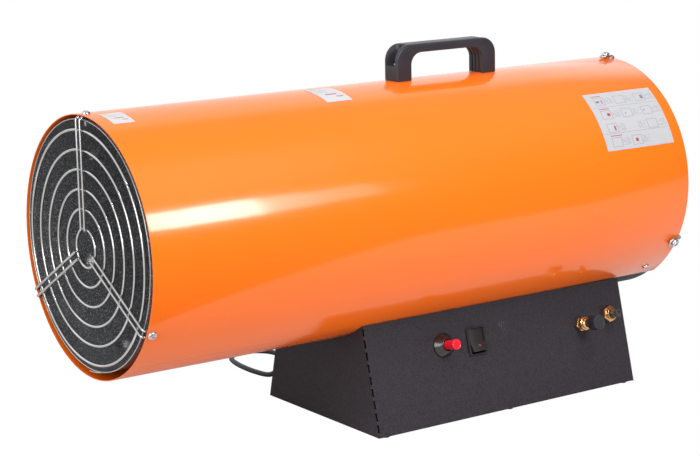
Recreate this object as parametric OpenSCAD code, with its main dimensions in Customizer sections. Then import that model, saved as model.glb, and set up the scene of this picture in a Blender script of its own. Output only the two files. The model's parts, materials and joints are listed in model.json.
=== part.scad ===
// Gas forced air heater: an orange tube with a deep combustion chamber at its outlet (-X)
// and a fan and motor at its intake (+X), on a folded base whose control panel faces -Y.
// Millimetres, +Z up. The origin is on the floor, under the middle of the tube.

/* [Casing] */
// Outer diameter of the orange casing
casing_d = 270; // [255:1:290]
// Length of the casing
casing_l = 700; // [680:1:740]
// Sheet thickness of the casing
casing_wall = 1; // [0.8:0.1:1.4]
// Length of the opening in the casing's bottom, from its rear end
opening_l = 142; // [120:1:150]
// How far the dark cover reaches ahead of that opening
cover_lap = 12; // [8:1:20]
// How far the cover ends short of the casing's rear end
cover_setback = 5; // [3:1:10]
// Angle by which the cover laps behind each edge of the opening
cover_lap_angle = 10; // [8:1:12]
// Sheet thickness of the cover
cover_wall = 1; // [0.8:0.1:1.4]

/* [Combustion chamber] */
// Mean gap between the casing and the combustion chamber
chamber_gap = 5.5; // [5.2:0.1:8]
// How far the chamber lies above the casing's axis
chamber_lift = 2; // [1:0.1:2]
// Sheet thickness of the chamber
chamber_wall = 1; // [0.8:0.1:1.4]
// Room between the chamber's rear end and the gas pipe
pipe_room = 130; // [128:0.5:136]
// How far the chamber's mouth lies inside the casing's end
chamber_inset = 0.5; // [0.2:0.1:2]
// Width of a spacer dimple's mouth
dimple_d = 18; // [14:0.5:20]
// Distance from each end of the chamber to its ring of dimples
dimple_inset = 59.5; // [45:0.5:80]
// Height by which the free end of the lap seam stands off
seam_lift = 1.6; // [0.5:0.1:2]

/* [Guards] */
// Wire diameter of both guards
wire_d = 3; // [2.5:0.1:3]
// Number of rings in a guard
ring_count = 6; // [5:1:7]
// Distance from the casing's outside to the outermost ring
ring_edge = 15.6; // [14:0.1:20]
// Distance between the two wires of a hairpin spoke
hairpin_w = 8; // [7.5:0.1:10]
// Distance from the casing's end to a guard screw
guard_screw_inset = 6; // [6:0.5:8]
// Diameter of a guard screw's shank
guard_screw_d = 4; // [3:0.5:4]
// Diameter of a guard screw's head
guard_head_d = 9.5; // [8:0.5:11]

/* [Handle] */
// Length of the handle
handle_l = 138; // [125:1:150]
// Distance of the handle's middle behind the tube's middle
handle_x = 99; // [95:1:110]
// Width of the handle
handle_w = 24; // [22:1:30]
// Height of the handle above the casing
handle_h = 39.25; // [36:0.25:50]
// Thickness of the grip
grip_t = 9.3; // [8:0.1:12]
// Thickness of each leg
leg_t = 19.5; // [18:0.5:24]
// Outer corner radius of the handle
handle_r = 18; // [10:0.5:20]
// Inner corner radius of the handle
handle_in_r = 13.5; // [6:0.5:15]
// Width of a screw pocket
pocket_w = 14.4; // [12:0.2:15]
// Depth of a screw pocket from the leg's outer face
pocket_depth = 16; // [12:0.5:16]
// Height of a pocket's floor above the casing
pocket_floor_h = 16.35; // [12:0.25:18]

/* [Base] */
// Length of the base
base_l = 363; // [363:1:380]
// How far the base's rear end stands in from the tube's
base_setback = 57; // [55:0.5:59]
// Width of the base at its bottom
base_w = 215; // [210:1:225]
// Height of the sides of the base
base_h = 117.6; // [112:0.2:125]
// Angle from the bottom of the tube at which the sides meet it
seat_angle = 35.4; // [34:0.2:36]
// Sheet thickness of the base
sheet_t = 1.2; // [1:0.1:1.5]
// Height of the feet under the base
foot_h = 1.2; // [1:0.1:3]
// Diameter of a foot
foot_d = 9; // [7:0.5:10]
// Number of slots along the folded edge
slot_count = 9; // [7:1:9]
// Length of a slot
slot_l = 9; // [7:0.5:10]
// How far a slot reaches round the fold
slot_w = 1.7; // [1.5:0.1:2.2]
// Distance from one slot to the next
slot_pitch = 13; // [11:0.5:13]

/* [Controls] */
// Distance of the igniter from the base's front end
igniter_x = 101.5; // [90:0.5:104]
// Height of the igniter up the panel
igniter_s = 84; // [78:0.5:90]
// Outer diameter of the igniter's cone
igniter_d = 27; // [24:0.5:30]
// Diameter of the igniter's red button
button_d = 11.4; // [9:0.1:12]
// How far the button stands out of the panel
button_out = 29; // [26:0.5:32]
// Travel of the button
button_travel = 7; // [5:0.5:8]
// Distance of the switch from the base's front end
switch_x = 146.5; // [142:0.5:160]
// Height of the switch up the panel
switch_s = 81.7; // [75:0.1:85]
// Width of the switch's frame
switch_w = 25.5; // [25.5:0.1:28]
// Height of the switch's frame
switch_h = 31.5; // [31.5:0.1:34]
// Distance of the regulator valve from the base's rear end
regulator_x = 67; // [64:0.5:72]
// Height of the regulator valve up the panel
regulator_s = 77; // [74:0.5:82]
// Diameter of the regulator's knurled knob
knob_d = 17.5; // [15:0.5:20]
// Length of the knob
knob_l = 12; // [10:0.5:14]
// How far the knob stands out of the panel
knob_out = 40; // [38:0.5:46]
// Distance of the safety valve from the base's rear end
safety_x = 25; // [24:0.5:28]
// Height of the safety valve up the panel
safety_s = 82; // [78:0.5:84]
// Diameter of the safety valve's pin
pin_d = 7; // [6:0.1:7.4]
// How far the pin stands out of the panel
pin_out = 22; // [21:0.5:26]
// Travel of the pin
pin_travel = 5; // [4:0.5:6]

/* [Fan and motor] */
// Diameter of the fan wheel
fan_d = 240; // [220:1:246]
// Number of blades
blade_count = 5; // [4:1:6]
// Pitch of the blades in degrees
blade_pitch = 32; // [25:1:38]
// Diameter of the motor
motor_d = 92; // [80:1:100]
// Length of the motor
motor_l = 66; // [60:1:72]
// Diameter of the motor's shaft
shaft_d = 8; // [6:0.5:10]

/* [Burner] */
// Diameter of the burner cup
cup_d = 70; // [60:1:80]
// Length of the burner cup
cup_l = 58; // [50:1:70]
// Outer diameter of the gas pipe
pipe_d = 8; // [6:0.5:8]
// Outer diameter of the gas inlet's thread
inlet_d = 16.6; // [14:0.1:18]
// Length of the gas inlet's thread
inlet_l = 22; // [18:0.5:26]

/* [Mains lead] */
// Diameter of the mains lead
cord_d = 6; // [5:0.5:6]
// Length of the tapered strain relief
relief_l = 26; // [20:1:30]
// Length of the plug's pins
plug_pin_l = 19; // [17:0.5:20]

/* [Hidden] */
$fn = 72;

// One overrun serves all cuts, and the gaps are the clearances of the real fits
over = 2;
seat_gap = 0.3;
fold_gap = 0.05;
hole_gap = 0.15;
run_gap = 0.05;
slide_gap = 0.3;

// The tube's and the pipes' heights are kept to this step, so that their ends meet face to face
height_step = 0.01;
function stepped(v) = height_step * round(v / height_step);

// Casing
casing_r = casing_d / 2;
casing_in_r = casing_r - casing_wall;
casing_front = -casing_l / 2;
casing_rear = casing_l / 2;
opening_x = casing_rear - opening_l;
cover_r = casing_in_r - seat_gap;
cover_angle = seat_angle + cover_lap_angle;
cover_screw_angle = seat_angle + cover_lap_angle * 0.69;
cover_screw_x = casing_rear - 4 * guard_screw_inset;
around_angles = [0, 120, 240];

// Base and the height of the tube's axis
base_half = base_w / 2;
base_rear = casing_rear - base_setback;
base_front = base_rear - base_l;
base_top = foot_h + base_h;
seat_half = casing_r * sin(seat_angle);
panel_tilt = atan((base_half - seat_half) / base_h);
sheet_run = sheet_t / cos(panel_tilt);
axis_z = stepped(base_top + casing_r * cos(seat_angle));
flange_w = 12;

// Chamber
chamber_r = casing_in_r - chamber_gap;
chamber_in_r = chamber_r - chamber_wall;
chamber_front = casing_front + chamber_inset;
pipe_inset = 200;
pipe_x = casing_rear - pipe_inset;
chamber_rear = pipe_x - pipe_room;
chamber_z = axis_z + chamber_lift;
dimple_angles = [55, 110, 160, 200, 250, 305];
seam_start_angle = 170;
seam_end_angle = 183;
seam_steps = 6;

// Guards
wire_r = wire_d / 2;
ring_pitch = (casing_r - ring_edge) / ring_count;
weld_share = 0.9;
ring_setback = 0.24;
spoke_start = ring_pitch - wire_r;
wire_bend_r = 3.5;
guard_screw_front = casing_front + guard_screw_inset;
guard_screw_rear = casing_rear - guard_screw_inset;
guard_screw_l = 12;
guard_head_h = 3.3;
recess_w = 1.3;

// Handle
handle_front = handle_x - handle_l / 2;
handle_rear = handle_x + handle_l / 2;
handle_top = axis_z + casing_r + handle_h;
handle_under = handle_top - grip_t;
pocket_floor = axis_z + casing_r + pocket_floor_h;
groove_w = 1.6;
groove_depth = 1;
groove_ys = [-handle_w / 4, 0, handle_w / 4];
handle_screw_d = 5;
handle_head_d = 9.5;
handle_head_h = 3;
handle_screw_xs = [handle_front + leg_t / 2, handle_rear - leg_t / 2];

// Nuts and saddle straps
nut_af = 8;
nut_h = 4;
strap_w = 20;
strap_t = 2;
strap_angle = seat_angle - 1;
strap_leg = 24;
strap_front_inset = 15;
strap_rear_inset = 128;
strap_xs = [base_front + strap_front_inset, base_rear - strap_rear_inset];
strap_bolt_angles = [167, 193];
strap_bolt_d = 5;
strap_head_h = 2.5;

// Labels: start, length, first and last angle from the top towards -Y
label_t = 0.3;
label_gap = 0.1;
big_label_w = 100;
big_label_inset = 15;
big_label_angles = [37.1, 68.6];
front_label_w = 24;
front_label_inset = 14.5;
front_label_angles = [4.8, 18];
mid_label_w = 32;
mid_label_x = -86;
mid_label_angles = [1.5, 20.2];

// Fan and motor, from the rear end of the casing inwards
bracket_t = 2;
bracket_inset = 20;
bracket_x = casing_rear - bracket_inset;
bracket_ring_r = motor_d * 0.478;
bracket_eye_r = 20;
arm_w = 18;
arm_angle = 4;
tab_end_gap = 1;
motor_r = motor_d / 2;
motor_rear = bracket_x - fold_gap;
motor_front = motor_rear - motor_l;
motor_boss_r = 14;
motor_boss_l = 6;
motor_step = 4;
vent_count = 12;
vent_w = 5;
vent_l = 30;
vent_depth = 3;
motor_screw_d = 4;
motor_screw_l = 8;
motor_screw_at = motor_r * 0.78;
motor_screw_angles = [60, 180, 300];
shaft_r = shaft_d / 2;
shaft_tail = 4;
fan_r = fan_d / 2;
fan_x = motor_front - motor_boss_l - 24;
hub_r = 28;
hub_l = 26;
hub_wall = 2;
sleeve_r = 9;
blade_t = 1.5;
blade_curve_r = 95;
blade_chord = 84;
blade_sector = 27;

// Burner
plate_r = chamber_in_r - seat_gap;
plate_x = chamber_rear - 18;
plate_t = 1.2;
plate_flange = 15;
plate_slots = 16;
plate_slot_l = 36;
plate_slot_w = 5;
cup_r = cup_d / 2;
cup_wall = 1.5;
cup_back = plate_x + 20;
cup_front = cup_back - cup_l;
cup_rim = 7;
cup_hole_r = 3.5;
cup_holes = 12;
spreader_r = 30;
spreader_out = 14;
spreader_in = 10;
spreader_leg_w = 8;
spreader_t = 1.2;
nozzle_af = 17;
nozzle_l = 14;
nozzle_tip_r = 5;
nozzle_tip_l = 13;
nozzle_socket = 8;
jet_r = 0.8;
pipe_r = pipe_d / 2;
pipe_wall = 1;
pipe_bend = 14;
grommet_r = pipe_r + 5;
grommet_lip = 2;
rod_r = 1.2;
insulator_r = 4;
insulator_l = 50;
insulator_collar_r = 7;
insulator_collar_l = 5;
igniter_y = 48;
igniter_z = 20;
rod_out = 20;
rod_hook = 8;
rod_bend = 4;
sensor_r = 3;
sensor_l = 44;
sensor_collar_r = 6;
thermostat_r = 8;
thermostat_h = 9;
thermostat_plate_l = 26;
thermostat_plate_w = 10;
thermostat_plate_t = 1.2;
thermostat_angle = 300;
thermostat_setback = 40;
thermostat_x = chamber_rear + thermostat_setback;

// Base details
slot_first = 10.2;
corner_screw_d = 4;
corner_head_d = 7.5;
corner_head_h = 2.2;
corner_screw_l = 7;
corner_screw_heights = [34, 84];
foot_inset = 6.5;
foot_xs = [base_front + 12, (base_front + base_rear) / 2, base_rear - 12];
foot_stem_r = 2;
base_screw_xs = [base_front + 50, base_rear - 60];
base_screw_inset = 8;
base_screw_d = 4;
base_head_d = 6;
base_plate_z = foot_h + sheet_t + fold_gap;
base_vents = 10;
base_vent_pitch = 20;
base_vent_w = 5;
base_vent_l = 60;
block_l = 50;
block_w = 16;
block_h = 18;
block_inset = 92;
block_x = base_front + block_inset;
block_y = 45;
block_poles = 5;
block_hole_r = 2.2;

// Igniter
button_r = button_d / 2;
cone_r = igniter_d / 2;
cone_h = 9;
cone_top_r = button_r + 1.6;
cone_rim = 1.6;
barrel_r = 8.5;
barrel_l = 34;
button_root = 6;
button_lip_r = button_r + 0.25;
button_lip = 3;
button_dish = 0.6;
piezo_nut_af = 24;
piezo_nut_h = 5;

// Switch
rocker_w = 18.6;
rocker_half = 12.8;
rocker_side_gap = 0.4;
rocker_end_gap = 1.1;
rocker_tip = 12;
rocker_valley = 1.2;
rocker_depth = 6;
rocker_pivot = -1;
rocker_pin_r = 1.5;
rocker_pin_l = 1.4;
switch_frame_t = 2.2;
switch_wall = 1;
switch_depth = 17;
switch_cavity = 10;
switch_window_w = rocker_w + 2 * rocker_side_gap;
switch_window_h = 2 * (rocker_half + rocker_end_gap);
switch_body_w = switch_window_w + 2 * switch_wall;
switch_body_h = switch_window_h + 2 * switch_wall;

// Valves: stations out of the panel, and radii, of the turned brass
regulator_af = 15;
regulator_hex = 6;
regulator_neck_r = 5.5;
regulator_collar_r = 7.6;
regulator_stem_r = 4.6;
regulator_collar_at = 8;
regulator_cone_at = 13;
regulator_stem_at = 17;
valve_body_r = 9;
valve_body_l = 46;
valve_thread_r = 6;
valve_back_gap = 1;
spindle_r = 3;
spindle_depth = 12;
knob_notches = 30;
notch_r = 0.55;
safety_af = 17;
safety_hex = 8;
safety_step_r = 7;
safety_step = 3;
pin_r = pin_d / 2;
pin_head_r = pin_r + 0.8;
pin_head_l = 3;
pin_hollow_r = pin_r - 0.6;
pin_hollow = 2.5;
pin_depth = 10;
regulator_at = base_rear - regulator_x;
safety_at = base_rear - safety_x;
link_depth = 25;
link_s = (regulator_s + safety_s) / 2;
link_y = -base_half + link_s * sin(panel_tilt) + link_depth * cos(panel_tilt);
link_z = stepped(foot_h + link_s * cos(panel_tilt) - link_depth * sin(panel_tilt));
link_socket = 3;
inlet_y = -50;
inlet_z = foot_h + 84;
inlet_af = 22;
inlet_hex = 8;
inlet_bore_r = 4;
inlet_inside = 10;
elbow_bend = 6;
elbow_drop = 9;
inlet_points = [
    [base_rear - sheet_t - inlet_inside + link_socket, inlet_y, inlet_z],
    [safety_at, inlet_y, inlet_z], [safety_at, inlet_y, inlet_z - elbow_bend - elbow_drop]
];

// Mains lead: the free stretch's points are chosen by hand, from the gland to the coil
cord_r = cord_d / 2;
gland_x = -22;
gland_s = 14;
gland_flange_r = 8;
gland_flange = 3;
gland_hole_r = 5.5;
gland_inside = 6;
relief_root_r = 6;
relief_tip_r = 3.9;
relief_rings = 5;
relief_groove = 0.8;
tube_sides = 8;
cord_points = [
    [-22, 132, 21.7], [-22.4, 140, 22.5], [-23.5, 148, 20.8], [-24.9, 155, 16.7],
    [-26.1, 160, 11.5], [-27.3, 165, 7.4], [-28.9, 172, 4.2], [-30.6, 180, 3.2],
    [-32.4, 192, 3.2], [-33.5, 204, 3.2], [-33.3, 218, 3.2], [-32.4, 232, 3.2],
    [-30.5, 245, 3.2], [-28, 256, 3.2], [-24, 267, 3.2], [-16, 277, 3.2],
    [-5, 283, 3.2], [8, 283.5, 3.2], [20, 278.5, 3.2], [29, 269, 3.2],
    [33, 257, 3.2], [33, 244, 3.2], [33, 230, 3.2], [33, 217, 3.2],
    [33, 204, 3.2], [32.9, 191, 3.2]
];
tail_points = [
    [82, 141.9, 10], [90, 141.9, 10.2], [97, 142, 11], [104, 142, 12.6],
    [111, 142, 13.7], [118, 142, 14]
];

// Coil: a spiral in, a half-turn climb and a spiral out, 24 rings to a loop
coil_centre = [76, 185];
coil_out_r = 43.1;
coil_pitch = 6.8;
coil_low_z = 3.2;
coil_turns = 2.375;
coil_climb = 0.5;
coil_rings = 24;
coil_sides = 6;
coil_start_angle = 180;

// Plug
plug_z = 14;
plug_y = 142;
plug_x = 118;
plug_relief_l = 24;
plug_relief_r = 6.5;
plug_neck_r = 9;
plug_neck_l = 12;
plug_r = 18.5;
plug_body_l = 25;
plug_half_h = 13.8;
plug_pin_r = 2.4;
plug_pin_gap = 9.5;
clip_w = 6;
clip_t = 1;
clip_l = 16;

// A flat outline in (Y, Z), drawn out along X
module along_x(x0, x1) {
    translate([x0, 0, 0]) rotate([90, 0, 90]) linear_extrude(x1 - x0) children();
}

// A place round the tube: +Z points outwards at this angle from the top towards -Y
module around(angle, x) {
    translate([x, 0, axis_z]) rotate([angle, 0, 0]) children();
}

// A place on the control panel: x along the base, y up the panel, z out of it
module on_panel(x, s) {
    translate([x, -base_half + s * sin(panel_tilt), foot_h + s * cos(panel_tilt)])
        rotate([90 - panel_tilt, 0, 0]) children();
}

// The same on the back panel
module on_back(x, s) {
    translate([x, base_half - s * sin(panel_tilt), foot_h + s * cos(panel_tilt)])
        rotate([panel_tilt - 90, 0, 0]) rotate([0, 0, 180]) children();
}

// A turned shape about an axis along X: the outline's x is the radius, its y runs along +X
module turned(x, z) {
    translate([x, 0, z]) rotate([0, 90, 0]) rotate_extrude() children();
}

// A wedge of a circle in (Y, Z), from one angle to another, from the top towards -Y
module pie(angle0, angle1, r) {
    steps = ceil((angle1 - angle0) / 30);
    reach = r / cos(15);
    polygon(concat([[0, 0]], [for (i = [0:steps])
        let(a = angle0 + (angle1 - angle0) * i / steps) [-reach * sin(a), reach * cos(a)]]));
}

module ring2d(r_out, r_in) {
    difference() {
        circle(r_out);
        circle(r_in);
    }
}

// A curved strip of sheet round the tube's axis
module band(x0, x1, r_out, t, angle0, angle1) {
    along_x(x0, x1) translate([0, axis_z]) intersection() {
        ring2d(r_out, r_out - t);
        pie(angle0, angle1, r_out);
    }
}

module disc_x(x0, x1, z, r) {
    translate([x0, 0, z]) rotate([0, 90, 0]) cylinder(r = r, h = x1 - x0);
}

// A hexagon prism standing on z = 0, given across its flats
module hexagon(af, h) {
    cylinder(r = af / sqrt(3), h = h, $fn = 6);
}

function unit(v) = v / norm(v);

// A section drawn out from one point to another
module straight(a, b) {
    d = b - a;
    translate(a) rotate([0, acos(d.z / norm(d)), atan2(d.y, d.x)]) linear_extrude(norm(d)) children();
}

// A section carried through a quarter bend, round a square corner
module elbow(corner, d_in, d_out, bend) {
    c = corner - bend * d_in + bend * d_out;
    w = cross(d_in, d_out);
    multmatrix([[-d_out.x, d_in.x, w.x, c.x], [-d_out.y, d_in.y, w.y, c.y],
        [-d_out.z, d_in.z, w.z, c.z], [0, 0, 0, 1]])
        rotate_extrude(angle = 90) translate([bend, 0]) children();
}

// A wire or pipe of a given section, along points with square corners
module bent(points, bend) {
    last = len(points) - 1;
    for (i = [0:last - 1]) {
        d = unit(points[i + 1] - points[i]);
        trim0 = i > 0 ? bend : 0;
        trim1 = i < last - 1 ? bend : 0;
        straight(points[i] + d * trim0, points[i + 1] - d * trim1) children();
    }
    for (i = [1:1:last - 1])
        elbow(points[i], unit(points[i] - points[i - 1]), unit(points[i + 1] - points[i]), bend)
            children();
}

// A pan-head screw with a cross recess: its head stands on z = 0 and its shank points down
module pan_screw(d, head_d, head_h, l) {
    difference() {
        cylinder(r1 = head_d / 2, r2 = head_d * 0.36, h = head_h);
        for (turn = [0, 90])
            rotate([0, 0, turn]) translate([-head_d / 4, -recess_w / 2, head_h / 2])
                cube([head_d / 2, recess_w, head_h]);
    }
    translate([0, 0, -l]) cylinder(r = d / 2, h = l + head_h / 4);
}

// A hole for a screw, through everything near z = 0
module screw_hole(d, l) {
    translate([0, 0, -l]) cylinder(r = d / 2 + hole_gap, h = 2 * l);
}

module grille_screw_places() {
    for (a = around_angles) around(a, guard_screw_front) translate([0, 0, casing_r]) children();
}

module guard_screw_places() {
    for (a = around_angles) around(a, guard_screw_rear) translate([0, 0, casing_r]) children();
}

module cover_screw_places() {
    for (side = [-1, 1])
        around(180 + side * cover_screw_angle, cover_screw_x) translate([0, 0, casing_r]) children();
}

module handle_screw_places() {
    for (x = handle_screw_xs) translate([x, 0, pocket_floor]) children();
}

// Bolt heads lie inside the casing, so this place's z points to the tube's axis
module strap_bolt_places() {
    for (x = strap_xs, a = strap_bolt_angles)
        around(a, x + strap_w / 2) rotate([180, 0, 0]) translate([0, 0, -casing_in_r]) children();
}

module outer_casing() {
    color("#f58220") difference() {
        along_x(casing_front, casing_rear) translate([0, axis_z]) ring2d(casing_r, casing_in_r);
        along_x(opening_x, casing_rear + over) translate([0, axis_z])
            pie(180 - seat_angle, 180 + seat_angle, casing_r + over);
        grille_screw_places() screw_hole(guard_screw_d, guard_screw_l);
        guard_screw_places() screw_hole(guard_screw_d, guard_screw_l);
        cover_screw_places() screw_hole(corner_screw_d, guard_screw_l);
        handle_screw_places() screw_hole(handle_screw_d, pocket_floor_h + over);
        strap_bolt_places() screw_hole(strap_bolt_d, strap_t + over);
        around(180, pipe_x) translate([0, 0, casing_in_r - over])
            cylinder(r = grommet_r - grommet_lip + hole_gap, h = casing_wall + 2 * over);
    }
}

module casing_cover() {
    color("#2e2c2e") difference() {
        band(opening_x - cover_lap, casing_rear - cover_setback, cover_r, cover_wall,
            180 - cover_angle, 180 + cover_angle);
        cover_screw_places() screw_hole(corner_screw_d, guard_screw_l);
    }
}

module cover_screws() {
    color("silver") cover_screw_places()
        pan_screw(corner_screw_d, corner_head_d, corner_head_h, corner_screw_l);
}

// A dimple reaches to just inside the casing, so its rise depends on its angle
function dimple_rise(a) = casing_in_r - chamber_lift * cos(a) - seat_gap - chamber_r;
function dimple_ball_r(a) = (pow(dimple_d / 2, 2) + pow(dimple_rise(a), 2)) / (2 * dimple_rise(a));

module dimple_balls(grow) {
    for (x = [chamber_front + dimple_inset, chamber_rear - dimple_inset], a = dimple_angles)
        translate([x, 0, chamber_z]) rotate([a, 0, 0])
            translate([0, 0, chamber_in_r + dimple_rise(a) - dimple_ball_r(a)])
                sphere(dimple_ball_r(a) + grow);
}

function seam_point(t, inner) =
    let(a = seam_start_angle + (seam_end_angle - seam_start_angle) * t,
        r = chamber_r + (seam_lift + chamber_wall) * t - (inner ? chamber_wall : 0))
    [-r * sin(a), r * cos(a)];

// The outer end of the rolled sheet stands off along the lap seam
module lap_seam() {
    along_x(chamber_front, chamber_rear) translate([0, chamber_z])
        polygon(concat([for (i = [0:seam_steps]) seam_point(i / seam_steps, false)],
            [for (i = [seam_steps:-1:0]) seam_point(i / seam_steps, true)]));
}

module combustion_chamber() {
    color("#3a3432") difference() {
        union() {
            disc_x(chamber_front, chamber_rear, chamber_z, chamber_r);
            lap_seam();
            dimple_balls(chamber_wall);
        }
        disc_x(chamber_front - over, chamber_rear + over, chamber_z, chamber_in_r);
        dimple_balls(0);
        grille_screw_places() screw_hole(guard_screw_d, guard_screw_l);
    }
}

// Rings and hairpin spokes of a guard at -X; each hairpin turns over the rim at hook_r
module guard(hook_r) {
    ring_x = casing_front - ring_setback;
    spoke_x = ring_x - wire_d * weld_share;
    turn_x = casing_front + guard_screw_inset + hairpin_w / 4;
    for (i = [1:ring_count])
        turned(ring_x, axis_z) translate([i * ring_pitch, 0]) circle(wire_r);
    for (a = around_angles) around(a, 0) {
        for (side = [-1, 1])
            bent([[spoke_x, side * hairpin_w / 2, spoke_start], [spoke_x, side * hairpin_w / 2, hook_r],
                [turn_x, side * hairpin_w / 2, hook_r]], wire_bend_r) circle(wire_r);
        translate([turn_x, 0, hook_r]) rotate([0, 0, -90])
            rotate_extrude(angle = 180) translate([hairpin_w / 2, 0]) circle(wire_r);
    }
}

module front_grille() {
    color("silver") guard(casing_in_r - wire_r - seat_gap * 0.8);
}

module rear_guard() {
    color("silver") mirror([1, 0, 0]) guard(casing_r + wire_r + seat_gap);
}

module grille_screws() {
    color("silver") grille_screw_places()
        pan_screw(guard_screw_d, guard_head_d, guard_head_h, guard_screw_l);
}

module guard_screws() {
    color("silver") guard_screw_places() translate([0, 0, wire_d + seat_gap + fold_gap])
        pan_screw(guard_screw_d, guard_head_d, guard_head_h, guard_screw_l);
}

// A flat-bottomed arch in (X, Z) with round top corners
module arch(x0, x1, z0, z1, r) {
    translate([x0, z0]) square([x1 - x0, z1 - z0 - r]);
    translate([x0 + r, z0]) square([x1 - x0 - 2 * r, z1 - z0]);
    for (x = [x0 + r, x1 - r]) translate([x, z1 - r]) circle(r);
}

// An outline in (X, Z) drawn out along Y, centred on y
module across(w, y) {
    translate([0, y + w / 2, 0]) rotate([90, 0, 0]) linear_extrude(w) children();
}

module handle_window(w, y, grow) {
    across(w, y) arch(handle_front + leg_t - grow, handle_rear - leg_t + grow,
        axis_z, handle_under + grow, handle_in_r + grow);
}

module handle() {
    color("#1c1b1c") difference() {
        across(handle_w, 0) arch(handle_front, handle_rear, axis_z, handle_top, handle_r);
        handle_window(handle_w + 2 * over, 0, 0);
        for (y = groove_ys) handle_window(groove_w, y, groove_depth);
        disc_x(casing_front, casing_rear, axis_z, casing_r + seat_gap);
        for (x = [handle_front - over, handle_rear - pocket_depth])
            translate([x, -pocket_w / 2, pocket_floor])
                cube([pocket_depth + over, pocket_w, handle_top]);
        handle_screw_places() screw_hole(handle_screw_d, pocket_floor_h + over);
    }
}

module handle_screws() {
    color("silver") handle_screw_places() translate([0, 0, fold_gap])
        pan_screw(handle_screw_d, handle_head_d, handle_head_h, pocket_floor_h + 2 * nut_h);
}

module hex_nut() {
    difference() {
        hexagon(nut_af, nut_h);
        translate([0, 0, -over]) cylinder(r = strap_bolt_d / 2 + hole_gap, h = nut_h + 2 * over);
    }
}

module hex_nuts() {
    color("silver") {
        for (x = handle_screw_xs)
            translate([x, 0, axis_z + casing_in_r - nut_h - seat_gap]) hex_nut();
        strap_bolt_places() translate([0, 0, -casing_wall - seat_gap - strap_t - nut_h - seat_gap])
            hex_nut();
    }
}

module label(x, w, angles) {
    band(x, x + w, casing_r + label_gap + label_t, label_t, angles[0], angles[1]);
}

module instruction_label() {
    color("white") label(casing_rear - big_label_inset - big_label_w, big_label_w, big_label_angles);
}

module small_labels() {
    color("white") {
        label(casing_front + front_label_inset, front_label_w, front_label_angles);
        label(mid_label_x, mid_label_w, mid_label_angles);
    }
}

module motor() {
    bore_r = shaft_r + run_gap;
    color("#57565a") difference() {
        turned(motor_front, axis_z) polygon([
            [bore_r, -motor_boss_l], [motor_boss_r, -motor_boss_l], [motor_boss_r, 0],
            [motor_r - motor_step, 0], [motor_r, motor_step], [motor_r, motor_l - motor_step],
            [motor_r - motor_step, motor_l], [bore_r, motor_l]]);
        for (i = [0:vent_count - 1])
            around(i * 360 / vent_count, motor_front + (motor_l - vent_l) / 2)
                translate([0, -vent_w / 2, motor_r - vent_depth]) cube([vent_l, vent_w, motor_r]);
        for (a = motor_screw_angles) around(a, motor_rear - motor_screw_l)
            translate([0, 0, motor_screw_at]) rotate([0, 90, 0])
                cylinder(r = motor_screw_d / 2 + hole_gap, h = motor_screw_l + over);
    }
}

module motor_shaft() {
    color("silver") disc_x(fan_x - hub_l / 2 - shaft_tail, motor_rear + shaft_tail, axis_z, shaft_r);
}

// One pressed blade, curved across its chord and pitched
module blade() {
    intersection() {
        rotate([0, 0, blade_pitch]) translate([-blade_curve_r, 0, hub_r - hub_wall / 2])
            linear_extrude(fan_r) intersection() {
                ring2d(blade_curve_r + blade_t / 2, blade_curve_r - blade_t / 2);
                translate([0, -blade_chord / 2]) square([2 * blade_curve_r, blade_chord]);
            }
        translate([-blade_chord, 0, 0]) rotate([90, 0, 90])
            linear_extrude(2 * blade_chord) intersection() {
                circle(fan_r);
                pie(-blade_sector, blade_sector, fan_r);
            }
    }
}

module fan_wheel() {
    color("#8c8c90") difference() {
        union() {
            turned(fan_x - hub_l / 2, axis_z) polygon([
                [0, 0], [hub_r, 0], [hub_r, hub_l], [hub_r - hub_wall, hub_l],
                [hub_r - hub_wall, hub_wall], [sleeve_r, hub_wall], [sleeve_r, hub_l], [0, hub_l]]);
            for (i = [0:blade_count - 1]) around(i * 360 / blade_count, fan_x) blade();
        }
        disc_x(fan_x - hub_l, fan_x + hub_l, axis_z, shaft_r + run_gap);
    }
}

module motor_bracket() {
    tab_r = casing_in_r - seat_gap;
    color("#77777a") difference() {
        union() {
            along_x(bracket_x, bracket_x + bracket_t) translate([0, axis_z]) difference() {
                union() {
                    circle(bracket_ring_r);
                    intersection() {
                        for (a = around_angles) rotate([0, 0, a])
                            translate([-arm_w / 2, 0]) square([arm_w, casing_r]);
                        circle(tab_r);
                    }
                }
                circle(bracket_eye_r);
            }
            for (a = around_angles)
                band(bracket_x, casing_rear - tab_end_gap, tab_r, bracket_t, a - arm_angle, a + arm_angle);
        }
        guard_screw_places() screw_hole(guard_screw_d, guard_screw_l);
        for (a = motor_screw_angles) around(a, bracket_x - over) translate([0, 0, motor_screw_at])
            rotate([0, 90, 0]) cylinder(r = motor_screw_d / 2 + hole_gap, h = bracket_t + 2 * over);
    }
}

module motor_screws() {
    color("silver") for (a = motor_screw_angles)
        around(a, bracket_x + bracket_t + fold_gap) translate([0, 0, motor_screw_at])
            rotate([0, 90, 0]) pan_screw(motor_screw_d, corner_head_d, corner_head_h, motor_screw_l);
}

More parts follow.
